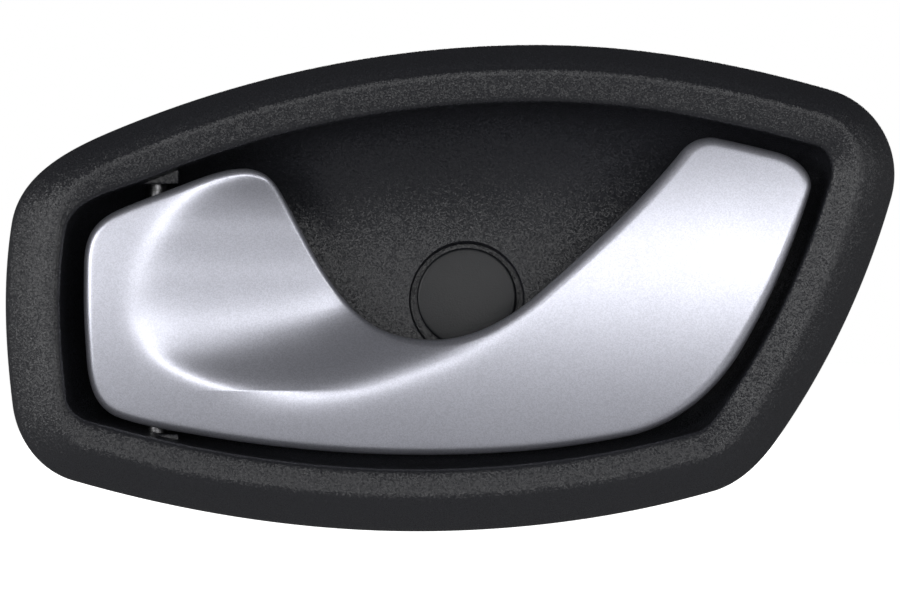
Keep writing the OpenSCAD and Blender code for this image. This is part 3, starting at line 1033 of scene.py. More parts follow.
def dress(
    obj: bpy.types.Object,
    material: bpy.types.Material,
    body: Body,
    replaced: Sequence[str] = (),
) -> None:
    """Puts a finish on a built piece and hands it to its body.

    Args:
        obj: The piece.
        material: Its finish.
        body: Body that it rides on.
        replaced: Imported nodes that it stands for.
    """
    obj.data.materials.clear()
    obj.data.materials.append(material)
    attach(obj, body.value)
    if replaced:
        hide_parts(*replaced)
    log.info("%s rides on %s, %d faces", obj.name, body.value, len(obj.data.polygons))


# Geometry node trees


@dataclass
class FormTree(NodeSketch):
    """A geometry node tree with named inputs."""

    def __post_init__(self) -> None:
        """Makes the tree with its ends."""
        self.tree = bpy.data.node_groups.new(self.name, "GeometryNodeTree")
        face = self.tree.interface
        face.new_socket("Geometry", in_out="INPUT", socket_type="NodeSocketGeometry")
        face.new_socket("Geometry", in_out="OUTPUT", socket_type="NodeSocketGeometry")
        self.start = self.node("NodeGroupInput")
        self.end = self.node("NodeGroupOutput")

    def input(self, name: str, kind: str) -> bpy.types.NodeSocket:
        """Adds a named input.

        Args:
            name: Name of the input.
            kind: Socket type.

        Returns:
            The socket inside the tree.
        """
        self.tree.interface.new_socket(name, in_out="INPUT", socket_type=kind)
        return self.start.outputs[name]

    def close(self, geometry: bpy.types.NodeSocket, material: bpy.types.NodeSocket) -> None:
        """Ends the tree in real geometry with its material.

        Args:
            geometry: What the tree has made.
            material: Socket that gives the material.
        """
        realize = self.node("GeometryNodeRealizeInstances")
        finish = self.node("GeometryNodeSetMaterial")
        self.link(geometry, realize.inputs["Geometry"])
        self.link(realize.outputs["Geometry"], finish.inputs["Geometry"])
        self.link(material, finish.inputs["Material"])
        self.link(finish.outputs["Geometry"], self.end.inputs["Geometry"])

    def grow(self, obj: bpy.types.Object, **values: object) -> None:
        """Runs the tree on an object and keeps the plain mesh.

        Args:
            obj: Object whose mesh goes in and is replaced.
            values: Values of the named inputs; underscores stand for spaces.
        """
        modifier = obj.modifiers.new(self.name, "NODES")
        modifier.node_group = self.tree
        wanted = {key.replace("_", " "): value for key, value in values.items()}
        for item in self.tree.interface.items_tree:
            if item.in_out == "INPUT" and item.name in wanted:
                modifier[item.identifier] = wanted[item.name]
        bake_modifiers(obj)


def spread_round_tree() -> FormTree:
    """A tree that sets copies of the input round the Y axis, turned to face outwards.

    Returns:
        The tree.
    """
    form = FormTree("spread_round_axis")
    count = form.input("Count", "NodeSocketInt")
    start = form.input("First turn", "NodeSocketFloat")
    material = form.input("Finish", "NodeSocketMaterial")
    line = form.node("GeometryNodeMeshLine")
    form.link(count, line.inputs["Count"])
    line.inputs["Offset"].default_value = (0, 0, 0)
    index = form.node("GeometryNodeInputIndex")
    share = form.node("ShaderNodeMath", operation="DIVIDE")
    turn = form.node("ShaderNodeMath", operation="MULTIPLY_ADD")
    form.link(index.outputs[0], share.inputs[0])
    form.link(count, share.inputs[1])
    form.link(share.outputs[0], turn.inputs[0])
    turn.inputs[1].default_value = math.tau
    form.link(start, turn.inputs[2])
    euler = form.node("ShaderNodeCombineXYZ")
    form.link(turn.outputs[0], euler.inputs["Y"])
    rotation = form.node("FunctionNodeEulerToRotation")
    form.link(euler.outputs[0], rotation.inputs[0])
    copies = form.node("GeometryNodeInstanceOnPoints")
    form.link(line.outputs["Mesh"], copies.inputs["Points"])
    form.link(form.start.outputs["Geometry"], copies.inputs["Instance"])
    form.link(rotation.outputs[0], copies.inputs["Rotation"])
    form.close(copies.outputs["Instances"], material)
    return form


def wire_tree() -> FormTree:
    """A tree that draws a round wire along the input's line.

    Returns:
        The tree.
    """
    form = FormTree("wire_along_line")
    diameter = form.input("Wire diameter", "NodeSocketFloat")
    sides = form.input("Sides", "NodeSocketInt")
    material = form.input("Finish", "NodeSocketMaterial")
    path = form.node("GeometryNodeMeshToCurve")
    form.link(form.start.outputs["Geometry"], path.inputs["Mesh"])
    radius = form.node("ShaderNodeMath", operation="MULTIPLY")
    form.link(diameter, radius.inputs[0])
    radius.inputs[1].default_value = 0.5
    circle = form.node("GeometryNodeCurvePrimitiveCircle")
    form.link(radius.outputs[0], circle.inputs["Radius"])
    form.link(sides, circle.inputs["Resolution"])
    sweep = form.node("GeometryNodeCurveToMesh")
    sweep.inputs["Fill Caps"].default_value = True
    form.link(path.outputs["Curve"], sweep.inputs["Curve"])
    form.link(circle.outputs["Curve"], sweep.inputs["Profile Curve"])
    form.close(sweep.outputs["Mesh"], material)
    return form


# Sub-assemblies


@dataclass
class LeverOutline:
    """Outline and face of the pull lever, shared by the pieces that follow it."""

    bezel: BezelSizes
    lever: LeverSizes
    rows_below: int = 30
    rows_above: int = 40
    ridge_steps: int = 24
    left_stretches: int = 8
    edge_margin: float = 0.3
    packing: tuple[float, float] = (1.5, 1.4)
    end_cols: int = 10

    def __post_init__(self) -> None:
        """Draws the ridge, the four sides and the grid inside them."""
        z = self.lever
        plain, grip = z.edge_plain, z.edge_grip
        self.rows = self.rows_below + self.rows_above
        ridge_knots = [
            Knot(-37.0, 25.4, 196), Knot(-42.8, 22.9, 201), Knot(-50.3, 19.6, 210),
            Knot(-56.9, 13.9, 234), Knot(-61.6, 5.5, 253), Knot(-63.1, -2.1, 272),
            Knot(-60.6, -8.6, 304), Knot(-54.1, -13.9, 333), Knot(-41.5, -17.1, 354),
            Knot(-31.5, -17.3, 3), Knot(-22.0, -16.0, 12), Knot(-12.6, -13.1, 20),
            Knot(-3.2, -9.3, 25), Knot(4.0, -5.0, 32), Knot(12.0, 1.6, 41),
            Knot(28.0, 17.0, 45), Knot(44.0, 38.0, 55),
        ]
        self.ridge = chain(ridge_knots, (self.ridge_steps,) * (len(ridge_knots) - 1))
        outer_knots = [
            Knot(-46.4, 24.2, 194, plain), Knot(-55.0, 21.2, 201, plain), Knot(-66.2, 16.8, 205, plain),
            Knot(-71.2, 12.2, 245, plain), Knot(-72.3, 3.5, 269, plain), Knot(-71.8, -11.0, 274, plain),
            Knot(-70.2, -18.2, 296, plain), Knot(-65.5, -22.3, 341, plain),
            Knot(-52.0, -25.3, 350, plain), Knot(-4.0, -29.2, 1, plain),
            self.along(3, 0.72, plain), self.along(5, 0.22, z.edge_swoosh), self.along(5, 0.93, grip),
        ]
        outer_counts = (12, 12, 12, 12, 12, 10, 12, 13, 40, 35, 25, 25)
        corner = self.placed(0.2415, 0.307, 51, z.edge_swoosh)
        hump = Knot(-34.6, 19.2, -61, 1.2)
        inner_knots = [
            hump, self.placed(-0.122, -0.030, -42, z.edge_scoop),
            self.placed(-0.039, -0.082, 0, plain), self.placed(0.080, 0.013, 41, z.edge_swoosh), corner,
        ]
        grip_knots = [
            self.along(5, 0.93, grip), self.along(7, 0.13, grip), self.along(7, 0.36, grip),
            corner.turned(),
        ]
        hump_knots = [
            hump.turned(), Knot(-38.9, 24.1, 156, plain), Knot(-42.0, 24.8, 180, plain), outer_knots[0],
        ]
        self.cols = sum(outer_counts)
        self.outer = chain(outer_knots, outer_counts)
        self.grip = chain(grip_knots, (24, 23, 23))
        self.inner = chain(inner_knots, (80, 30, 40, 70))
        self.inner[:, 2:4] *= -1
        self.hump = chain(hump_knots, (25, 15, 30))[::-1]
        self.line = np.vstack([self.outer[:-1], self.grip[:-1], self.inner[:0:-1], self.hump[:0:-1]])
        self.left, self.low = self.line[:, 0].min(), self.line[:, 1].min()
        self.right = self.line[:, 0].max()
        self.grid = self.make_grid()

    def placed(self, x: float, z: float, heading: float, radius: float = 0.0) -> Knot:
        """A knot from shares of the bezel's width and height."""
        return Knot(x * self.bezel.width, z * self.bezel.height, heading, radius)

    def along(self, i: int, t: float, radius: float) -> Knot:
        """A knot on the line that follows the opening."""
        return self.bezel.inner_knot(i, t, self.lever.gaps, radius)

    def scoop(self, x: np.ndarray, z: np.ndarray) -> np.ndarray:
        """Depth of the scoop below the face.

        A ramp falls to the right from the ridge's left side, and a wall rises to its lower side.

        Args:
            x: Places across.
            z: Places up.

        Returns:
            The depths.
        """
        sizes = self.lever
        left_end = self.ridge_steps * self.left_stretches
        left = self.ridge[: left_end + 1]
        low = self.ridge[left_end + self.ridge_steps:]
        ridge_x = np.interp(-z, -left[:, 1], left[:, 0])
        ridge_z = np.interp(x, low[:, 0], low[:, 1])
        ramp = sizes.ramp * (x - ridge_x)
        wall = sizes.wall_slope * (z - ridge_z)
        soft = sizes.valley
        fall = -soft * np.logaddexp(-ramp / soft, -wall / soft)
        roll = mix(*sizes.ridge_roll, smooth((x - sizes.roll_from) / sizes.roll_span))
        return roll * np.logaddexp(0.0, fall / roll)

    def face_y(self, x: np.ndarray, z: np.ndarray) -> np.ndarray:
        """Depth of the face without the scoop, crowned towards its left, upper and lower edges.

        Args:
            x: Places across.
            z: Places up.

        Returns:
            The depths.
        """
        sizes = self.lever
        across = (x - self.left) / (self.right - self.left)
        flat = self.bezel.crest_y + sizes.inset - sizes.rise * across
        up = (z - sizes.crown_z) / (sizes.crown_z - self.low)
        left = np.maximum(0, sizes.left_from - x) / (sizes.left_from - self.left)
        right = np.maximum(0, x - sizes.right_from) / (self.right - sizes.right_from)
        return flat + sizes.crown * up**2 + sizes.left_crown * left**2 + sizes.right_crown * right**2

    def moved_in(self, side: np.ndarray, inset: np.ndarray | float) -> np.ndarray:
        """A side's points, moved in along their normals."""
        return side[:, :2] + side[:, 2:4] * np.reshape(inset, (-1, 1))

    def make_grid(self) -> np.ndarray:
        """Columns by rows of x, z inside the edge, closest together along the ridge.

        Returns:
            The places.
        """
        edge = {
            name: self.moved_in(side, np.maximum(side[:, 4], self.lever.wall) + self.edge_margin)
            for name, side in (
                ("outer", self.outer), ("inner", self.inner), ("grip", self.grip), ("hump", self.hump)
            )
        }
        start, end = edge["hump"][self.rows_below], edge["grip"][self.rows_below]
        knots = [
            Knot(start[0], start[1], 193), self.placed(-0.2995, 0.206, 208),
            self.placed(-0.3755, -0.022, 270), self.placed(-0.244, -0.1785, 358),
            self.placed(-0.019, -0.122, 10), self.placed(0.101, -0.055, 36),
            Knot(end[0], end[1], 60),
        ]
        crease = chain(knots, (20, 25, 30, 45, 40, 60))[:, :2]
        i = np.arange(self.cols + 1)[:, None, None]
        j = np.arange(self.rows + 1)[None, :, None]
        near = 1 - np.clip(1 - j / self.rows_below, 0, 1) ** self.packing[0]
        far = np.clip((j - self.rows_below) / self.rows_above, 0, 1) ** self.packing[1]
        lower = mix(edge["outer"][:, None], crease[:, None], near)
        upper = mix(crease[:, None], edge["inner"][:, None], far)
        ruled = np.where(j <= self.rows_below, lower, upper)
        return (
            ruled
            + (edge["hump"][None] - ruled[:1]) * smooth(1 - i / self.end_cols)
            + (edge["grip"][None] - ruled[-1:]) * smooth(1 - (self.cols - i) / self.end_cols)
        )

    def surface(self, behind: float) -> np.ndarray:
        """The grid's points in space, at a depth behind the face."""
        x, z = self.grid[..., 0], self.grid[..., 1]
        return np.stack([x, self.face_y(x, z) + self.scoop(x, z) + behind, z], axis=-1)

    def ring(self, inset: np.ndarray | float, behind: np.ndarray | float) -> np.ndarray:
        """A ring of the edge at an inset from the outline and a depth behind the face."""
        x, z = self.moved_in(self.line, np.broadcast_to(inset, len(self.line))).T
        return np.column_stack([x, self.face_y(x, z) + self.scoop(x, z) + behind, z])


@dataclass
class PullLever:
    """The painted cover that the fingers pull."""

    shape: LeverOutline

    def mesh(self) -> bpy.types.Object:
        """Builds the cover: face, rolled edge, lip and inner face.

        Returns:
            The object.
        """
        s = self.shape
        sizes = s.lever
        radius = s.line[:, 4]
        sketch = MeshSketch()
        rings = [ring_rim(sketch.grid(s.surface(0)))]
        for a in np.radians(np.linspace(90, 0, 11)):
            rings.append(sketch.add(s.ring(radius * (1 - np.cos(a)), radius * (1 - np.sin(a)))))
        for inset, behind in (
            (0.0, radius + sizes.lip - sizes.lip_edge), (sizes.lip_edge, radius + sizes.lip),
            (sizes.wall, radius + sizes.lip), (sizes.wall, sizes.wall + radius / 2),
        ):
            rings.append(sketch.add(s.ring(inset, behind)))
        rings.append(ring_rim(sketch.grid(s.surface(sizes.wall))))
        for a, b in zip(rings, rings[1:]):
            sketch.bridge(a, b)
        return sketch.build("pull_lever", 50)

    def build(self, finishes: FinishSet) -> None:
        """Builds and dresses the lever."""
        dress(self.mesh(), finishes.silver, Body.LEVER, ["lever_cover"])


@dataclass
class Bezel:
    """The one moulding of rim, finger bowl and everything on its back."""

    sizes: BezelSizes
    hinge: HingeSizes
    screw: ScrewSizes
    arm: ArmSizes
    lever_line: np.ndarray
    steps: int = 36

    def __post_init__(self) -> None:
        """Draws the outline and the opening."""
        z = self.sizes
        shares = np.arange(self.steps) / self.steps
        count = len(z.knots)
        self.outline = np.vstack([cubic(z.knot(i), z.knot(i + 1), shares) for i in range(count)])
        none = (0.0, 0.0, 0.0, 0.0)
        self.opening = np.vstack([
            cubic(z.inner_knot(i, 0, none), z.inner_knot(i + 1, 0, none), shares) for i in range(count)
        ])
        self.normals = self.outline[:, 2:4]
        self.rim = side_blend(self.normals, z.rims)
        wanted = self.rim * side_blend(self.normals, z.crest_shares)
        self.crest = np.minimum(self.rim - z.crest_room, wanted)
        fall = z.crest_fall * side_blend(self.normals, z.fall_shares)
        self.band_y = z.crest_y + fall * (self.rim - self.crest) / z.rims[1]
        self.lip_y = self.band_y + z.lip_drop
        self.hinge_x = z.left + self.hinge.inset
        self.hinge_y = z.crest_y + self.hinge.depth

    def rim_ring(self, inset: np.ndarray | float, depth: np.ndarray | float) -> np.ndarray:
        """A ring of the rim at an inset from the outline and a depth.

        Args:
            inset: Distance in from the outline.
            depth: Depth of each point.

        Returns:
            Rows of x, y, z.
        """
        share = np.broadcast_to(inset, len(self.rim)) / self.rim
        x = mix(self.outline[:, 0], self.opening[:, 0], share)
        z = mix(self.outline[:, 1], self.opening[:, 1], share)
        return np.column_stack([x, np.broadcast_to(depth, len(x)), z])

    def bowl_section(self, angle: float) -> tuple[np.ndarray, np.ndarray, np.ndarray]:
        """Spine points, distances from them and depths of the bowl at an angle.

        Args:
            angle: From 0 at the lip to 90 at the floor, in degrees.

        Returns:
            The spine points, the distances and the depths.
        """
        z = self.sizes
        middle = np.array([z.width * z.bowl_middle[0], z.height * z.bowl_middle[1]])
        e = self.opening
        spine = np.column_stack([mix(middle[0], e[:, 0], 0.5), np.full(len(e), middle[1])])
        reach = np.linalg.norm(e[:, :2] - spine, axis=1)
        squared = smooth((z.left * z.square_from - e[:, 0]) / (z.width * z.square_span))
        power = mix(side_blend(e[:, 2:4], z.bowl_powers), z.square_power, squared)
        a = math.radians(angle)
        return spine, reach * math.cos(a) ** (2 / power), mix(self.lip_y, z.floor_y, math.sin(a))

    def bowl_ring(self, angle: float, off: float) -> np.ndarray:
        """A ring of the bowl, moved off its surface by a wall.

        Args:
            angle: From 0 at the lip to 90 at the floor, in degrees.
            off: Distance off the surface.

        Returns:
            Rows of x, y, z.
        """
        spine, r, y = self.bowl_section(angle)
        _, r1, y1 = self.bowl_section(min(angle + 0.5, 89.9))
        _, r0, y0 = self.bowl_section(max(angle - 0.5, 0.1))
        normal = np.column_stack([y1 - y0, r0 - r1])
        if angle < 1:
            normal = np.tile([1.0, 0.0], (len(r), 1))
        normal /= np.linalg.norm(normal, axis=1)[:, None]
        away = self.opening[:, :2] - spine
        away /= np.linalg.norm(away, axis=1)[:, None]
        out = r + off * normal[:, 0]
        return np.column_stack([
            spine[:, 0] + away[:, 0] * out, y + off * normal[:, 1], spine[:, 1] + away[:, 1] * out
        ])

    def shell(self) -> bpy.types.Object:
        """Builds the rim and bowl with their wall.

        Returns:
            The object.
        """
        z, rim, crest, band = self.sizes, self.rim, self.crest, self.band_y
        base = z.trim_y - z.edge_h
        shoulder = mix(base, z.crest_y, 0.93)
        near = shoulder + (z.crest_y - shoulder) * 0.62
        controls = np.stack([
            self.rim_ring(0, z.trim_y), self.rim_ring(0, base + 0.15), self.rim_ring(0.15, base - 0.25),
            self.rim_ring(0.9, base - 0.9), self.rim_ring(crest * 0.5, mix(base, z.crest_y, 0.68)),
            self.rim_ring(crest * 0.82, shoulder),
            self.rim_ring(crest - 0.7, near), self.rim_ring(crest, z.crest_y),
            self.rim_ring(crest + 0.7, mix(z.crest_y, band, 0.15)),
            self.rim_ring(rim - 1.3, band), self.rim_ring(rim - 0.35, band + 0.3),
            self.rim_ring(rim, band + 1.1), self.bowl_ring(0, 0),
        ])
        front = list(rounded(controls, 2))
        angles = np.concatenate([np.linspace(2, 40, 14), np.linspace(43, 80, 14), [82.5, 85, 87, 88.6]])
        front += [self.bowl_ring(a, 0) for a in angles]
        wall = z.wall
        flat = self.bowl_ring(88.6, 0)
        flat[:, 1] = z.floor_y + wall
        back = [flat] + [self.bowl_ring(a, wall) for a in angles[::-2]]
        back += [
            self.rim_ring(rim - wall - 0.2, z.crest_y + wall + 0.6),
            self.rim_ring(np.minimum(crest, rim - wall - 1.2), z.crest_y + wall),
            self.rim_ring(wall, mix(base, z.crest_y, 0.45) + wall * 0.8),
            self.rim_ring(wall, z.trim_y),
        ]
        sketch = MeshSketch()
        rings = [sketch.add(r) for r in front + back]
        for k, (a, b) in enumerate(zip(rings, rings[1:] + rings[:1])):
            if k != len(front) - 1:
                sketch.bridge(a, b)
        sketch.cap(rings[len(front) - 1][::-1])
        sketch.cap(rings[len(front)])
        return sketch.build("bezel", 50)

    def opened(self, dx: float, y: float) -> tuple[float, float]:
        """Where a point of the arm at distance dx from the hinge lies when open, at depth y.

        Args:
            dx: Distance from the hinge along the lever at rest.
            y: Depth to look at.

        Returns:
            Its place across when open, and its distance behind the hinge on the arm.
        """
        a = math.radians(self.hinge.open_angle)
        reach = ((y - self.hinge_y) + dx * math.sin(a)) / math.cos(a)
        return self.hinge_x + dx * math.cos(a) + reach * math.sin(a), reach

    def hinge_blocks(self) -> list[bpy.types.Object]:
        """The two blocks that hold the pin's ends.

        Returns:
            The two objects.
        """
        half = self.hinge.boss_d / 2
        side = crossings(self.lever_line, self.hinge_x + half)
        hole = crossings(self.opening, self.hinge_x)
        spans = [
            (max(side) + self.hinge.boss_gap, max(hole) + self.hinge.boss_len),
            (min(hole) - self.hinge.boss_len, min(side) - self.hinge.boss_gap),
        ]
        x, y = self.hinge_x, self.hinge_y
        outline = rectangle(x - half, x + half, y - half, y + half)
        return [
            prism(f"hinge_block_{i}", outline, "Z", low, high, self.arm.edge)
            for i, (low, high) in enumerate(spans)
        ]

    def stop_holders(self) -> list[bpy.types.Object]:
        """The two walls behind the rubber stops.

        Returns:
            The two objects.
        """
        arm, back = self.arm, self.sizes.floor_y + self.sizes.wall
        left = self.hinge_x + arm.offset - arm.width / 2 - arm.stop_gap - arm.stop_t
        span = (-arm.height / 2 - 1, arm.height / 2 + 1)
        rest = prism(
            "rest_holder",
            rectangle(left - arm.holder_t, left, back - 0.5, back + arm.stop_len + 0.5),
            "Z", *span,
        )
        start = arm.offset + arm.width / 2 + arm.stop_gap + arm.stop_t
        from_y = self.opened(start + arm.holder_t, back - 0.4)[1]
        a = math.radians(-self.hinge.open_angle)
        corners = []
        for dx, dy in rectangle(start, start + arm.holder_t, from_y, from_y + arm.stop_len + 0.5):
            corners.append((
                self.hinge_x + dx * math.cos(a) - dy * math.sin(a),
                self.hinge_y + dx * math.sin(a) + dy * math.cos(a),
            ))
        return [rest, prism("open_holder", corners, "Z", *span)]

    def bracket(self) -> bpy.types.Object:
        """The bracket that takes the end of the cable's sheath.

        Returns:
            The object.
        """
        arm, back = self.arm, self.sizes.floor_y + self.sizes.wall
        x, half_w = self.hinge_x - arm.bracket_offset, arm.bracket_w / 2
        end = x + arm.bracket_t
        seat_y = self.hinge_y + arm.reach - arm.width / 2
        top = seat_y + arm.sheath_d / 2 + 1
        outline = rectangle(back - 1.2, top, -half_w, half_w)
        made = prism("cable_bracket", outline, "X", x, end, arm.edge)
        seat = cylinder("sheath_seat", "X", (seat_y, 0), arm.sheath_d, x - 1, end + 1)
        combine(made, seat, "DIFFERENCE")
        half = arm.sheath_d / 2 - 0.5
        mouth = rectangle(seat_y, seat_y + 20, -half, half)
        combine(made, prism("sheath_mouth", mouth, "X", x - 1, end + 1), "DIFFERENCE")
        return made

    def snap_hooks(self) -> list[bpy.types.Object]:
        """The hooks that hold the bezel in the trim.

        Returns:
            The objects.
        """
        z, arm = self.sizes, self.arm
        made = []
        for i, (share, side) in enumerate(arm.hook_places):
            x = share * z.width
            found = crossings(self.opening, x)
            root = (max(found) if side > 0 else min(found)) + side * (z.wall + 1.2)
            foot = z.crest_y + z.wall * 0.5
            tip = z.trim_y + arm.trim_t
            outline = [
                (foot, root), (tip + 4, root), (tip + 4, root + side * arm.hook_t * 0.7),
                (tip + 0.2, root + side * (arm.hook_t + 1.2)), (tip, root + side * arm.hook_t),
                (foot, root + side * arm.hook_t),
            ]
            half = arm.hook_w / 2
            made.append(prism(f"snap_hook_{i}", outline, "X", x - half, x + half))
        return made

    def ribs(self, material: bpy.types.Material) -> bpy.types.Object:
        """The ribs round the screw's boss, set out by a geometry node tree.

        Args:
            material: Finish that the node tree puts on.

        Returns:
            The object.
        """
        z, screw = self.sizes, self.screw
        r = screw.pocket_d / 2 + z.wall - 1
        end = r + screw.rib_reach
        back = z.floor_y + z.wall - 0.8
        top = back + screw.rib_h
        outline = [(r, back), (end, back), (end, back + screw.rib_tip_h), (r + 0.6, top), (r, top)]
        half = screw.rib_t / 2
        rib = prism("boss_ribs", outline, "Z", -half, half, screw.rib_edge)
        spread_round_tree().grow(rib, Count=screw.rib_count, First_turn=0.0, Finish=material)
        return rib

    def mesh(self, material: bpy.types.Material) -> bpy.types.Object:
        """Builds the whole moulding.

        Args:
            material: Finish that the node tree puts on.

        Returns:
            The object.
        """
        z, screw, arm = self.sizes, self.screw, self.arm
        made = self.shell()
        back = z.floor_y + z.wall
        boss_d = screw.pocket_d + 2 * z.wall
        added = [
            cylinder("boss", "Y", (0, 0), boss_d, back - 1, -screw.sleeve_len + z.wall),
            cylinder("boss_end", "Y", (0, 0), screw.sleeve_d + 2 * z.wall, -screw.sleeve_len, -0.6),
            *self.hinge_blocks(), self.ribs(material), self.bracket(), *self.stop_holders(),
            *self.snap_hooks(),
        ]
        for piece in added:
            combine(made, piece, "UNION")
        r = screw.pocket_d / 2
        cap_back = z.floor_y - screw.cap_sink + screw.cap_t
        pocket = [
            (0, z.floor_y - 4), (r + 0.7, z.floor_y - 4), (r + 0.7, z.floor_y - 0.45),
            (r + 0.35, z.floor_y + 0.0), (r, z.floor_y + 0.5), (r, cap_back),
            (screw.ledge_d / 2, cap_back), (screw.ledge_d / 2, -screw.sleeve_len),
            (screw.sleeve_d / 2, -screw.sleeve_len), (screw.sleeve_d / 2, 1), (0, 1),
        ]
        combine(made, lathe("cap_pocket", pocket), "DIFFERENCE")
        pin = cylinder(
            "pin_bore", "Z", (self.hinge_x, self.hinge_y), self.hinge.pin_d + self.hinge.pin_play,
            -z.height, z.height,
        )
        combine(made, pin, "DIFFERENCE")
        left = self.hinge_x + arm.offset - arm.width / 2 - arm.stop_gap - 0.8
        right = self.opened(arm.offset + arm.width / 2, back)[0] + 0.8
        slot = rectangle(left, right, z.floor_y - 3, back + 0.1)
        half = arm.height / 2 + 1
        combine(made, prism("arm_slot", slot, "Z", -half, half), "DIFFERENCE")
        shade(made.data, 40)
        return made

    def build(self, finishes: FinishSet) -> None:
        """Builds and dresses the bezel."""
        dress(self.mesh(finishes.grained), finishes.grained, Body.HOUSING, ["housing"])


@dataclass
class LeverCarrier:
    """The black plate inside the cover, with its two barrels and the arm for the cable."""

    shape: LeverOutline
    bezel: Bezel
    plate_t: float = 2.0
    nest_gap: float = 0.25
    barrel_d: float = 7.4
    barrel_len: float = 8.0
    barrel_end: float = 2.6
    web_side: float = 0.6
    web_end: float = 1.4
    nipple_d: float = 4.4
    nipple_floor: float = 2.0
    cable_slot: float = 1.8

    def behind(self, x: float, z: float, share: float = 0.5) -> float:
        """Depth inside the plate at a place, from 0 at its front to 1 at its back."""
        s = self.shape
        return float(s.face_y(x, z) + s.scoop(x, z)) + s.lever.wall + self.nest_gap + share * self.plate_t

    def plate(self) -> bpy.types.Object:
        """Builds the plate that follows the cover's inner face.

        Returns:
            The object.
        """
        front = self.shape.lever.wall + self.nest_gap
        sketch = MeshSketch()
        rims = [
            ring_rim(sketch.grid(self.shape.surface(depth)[1:-1, 1:-1]))
            for depth in (front, front + self.plate_t)
        ]
        sketch.bridge(*rims)
        return sketch.build("lever_carrier_plate", 40)

    def barrel_spans(self) -> list[tuple[float, float]]:
        """Lower and upper end of each barrel.

        Returns:
            The spans, the lower barrel's first.
        """
        ends = crossings(self.shape.line, self.bezel.hinge_x)
        low, high = min(ends) + self.barrel_end, max(ends) - self.barrel_end
        return [(low, low + self.barrel_len), (high - self.barrel_len, high)]

    def barrel(self, low: float, high: float) -> list[bpy.types.Object]:
        """A barrel on the pin and the web that joins it to the plate.

        Args:
            low: Lower end of the barrel.
            high: Its upper end.

        Returns:
            The barrel and the web.
        """
        x, y = self.bezel.hinge_x, self.bezel.hinge_y
        half = self.barrel_d / 2 - self.web_side
        foot, head = low + self.web_end, high - self.web_end
        root = [max(self.behind(x - half, z), self.behind(x + half, z)) for z in (foot, head)]
        outline = [(root[0], foot), (y, foot), (y, head), (root[1], head)]
        return [
            cylinder("carrier_barrel", "Z", (x, y), self.barrel_d, low, high),
            prism("carrier_web", outline, "X", x - half, x + half),
        ]

    def mesh(self) -> bpy.types.Object:
        """Builds the whole carrier.

        Returns:
            The object.
        """
        hinge, arm = self.bezel.hinge, self.bezel.arm
        x, y = self.bezel.hinge_x, self.bezel.hinge_y
        middle, end, half = x + arm.offset, y + arm.reach, arm.width / 2
        left, right = middle - half, middle + half
        outline = [(left, self.behind(left, 0)), (right, self.behind(right, 0)), (right, end), (left, end)]
        spans = self.barrel_spans()
        made = self.plate()
        for piece in [
            *self.barrel(*spans[0]), *self.barrel(*spans[1]),
            prism("cable_arm", outline, "Z", -arm.height / 2, arm.height / 2, arm.edge),
        ]:
            combine(made, piece, "UNION")
        seat, slot = end - half, self.cable_slot / 2
        floor = self.nipple_floor - arm.height / 2
        bore = hinge.pin_d + hinge.pin_play
        mouth = rectangle(middle - arm.width, middle, seat - slot, seat + slot)
        for tool in (
            cylinder("barrel_bore", "Z", (x, y), bore, spans[0][0] - 1, spans[1][1] + 1),
            cylinder("nipple_seat", "Z", (middle, seat), self.nipple_d, floor, floor + arm.height),
            prism("cable_slot", mouth, "Z", floor, floor + arm.height),
        ):
            combine(made, tool, "DIFFERENCE")
        shade(made.data, 40)
        return made

    def build(self, finishes: FinishSet) -> None:
        """Builds and dresses the carrier."""
        dress(self.mesh(), finishes.black, Body.LEVER, ["lever_carrier"])


@dataclass
class ScrewCap:
    """The round cap over the fixing screw, with its springy skirt."""

    bezel: BezelSizes
    sizes: ScrewSizes
    offset: float = 0.45
    dome: float = 0.45
    crown_shares: tuple[float, ...] = (0.0, 0.2, 0.35, 0.48, 0.6, 0.7, 0.8, 0.9)
    rim_r: float = 0.55
    skirt_turn: float = 25.0
    skirt_count: int = 4

    def mesh(self, material: bpy.types.Material) -> bpy.types.Object:
        """Builds the disc and its skirt.

        Args:
            material: Finish that the node tree puts on.

        Returns:
            The object.
        """
        z = self.sizes
        r, face = z.cap_d / 2, self.bezel.floor_y - z.cap_sink
        back = face + z.cap_t
        crown = [(r * s, face - self.dome * (0.81 - s * s)) for s in self.crown_shares]
        rim = [
            (r - self.rim_r + self.rim_r * math.sin(a), face + 0.6 - self.rim_r * math.cos(a))
            for a in np.radians(np.linspace(0, 90, 7))
        ]
        disc = lathe("screw_cap_disc", [*crown, *rim, (r, back - 0.15), (r - 0.15, back), (0, back)])
        for vertex in disc.data.vertices:
            vertex.co.z += self.offset * MM
        steps = np.radians(np.linspace(-self.skirt_turn, self.skirt_turn, 13))
        inner, outer = z.ledge_d / 2 - 1.5, z.ledge_d / 2 - 0.3
        rings = [
            (inner, back - 0.2), (outer, back - 0.2), (outer, back + 3), (outer + 0.15, back + 3.3),
            (outer - 0.4, back + 4), (inner, back + 4),
        ]
        sketch = MeshSketch()
        reach, depth = np.array(rings).T
        slices = [
            sketch.add(np.column_stack([reach * math.cos(a), depth, reach * math.sin(a)])) for a in steps
        ]
        for a, b in zip(slices, slices[1:]):
            sketch.bridge(a, b)
        sketch.cap(slices[0])
        sketch.cap(slices[-1][::-1])
        skirt = sketch.build("screw_cap_skirt", 30)
        first = math.pi / self.skirt_count
        spread_round_tree().grow(skirt, Count=self.skirt_count, First_turn=first, Finish=material)
        combine(disc, skirt, "UNION")
        disc.name = disc.data.name = "screw_cap_cover"
        shade(disc.data, 30)
        return disc

    def build(self, finishes: FinishSet) -> None:
        """Builds and dresses the cap."""
        dress(self.mesh(finishes.cap), finishes.cap, Body.HOUSING, ["screw_cap"])


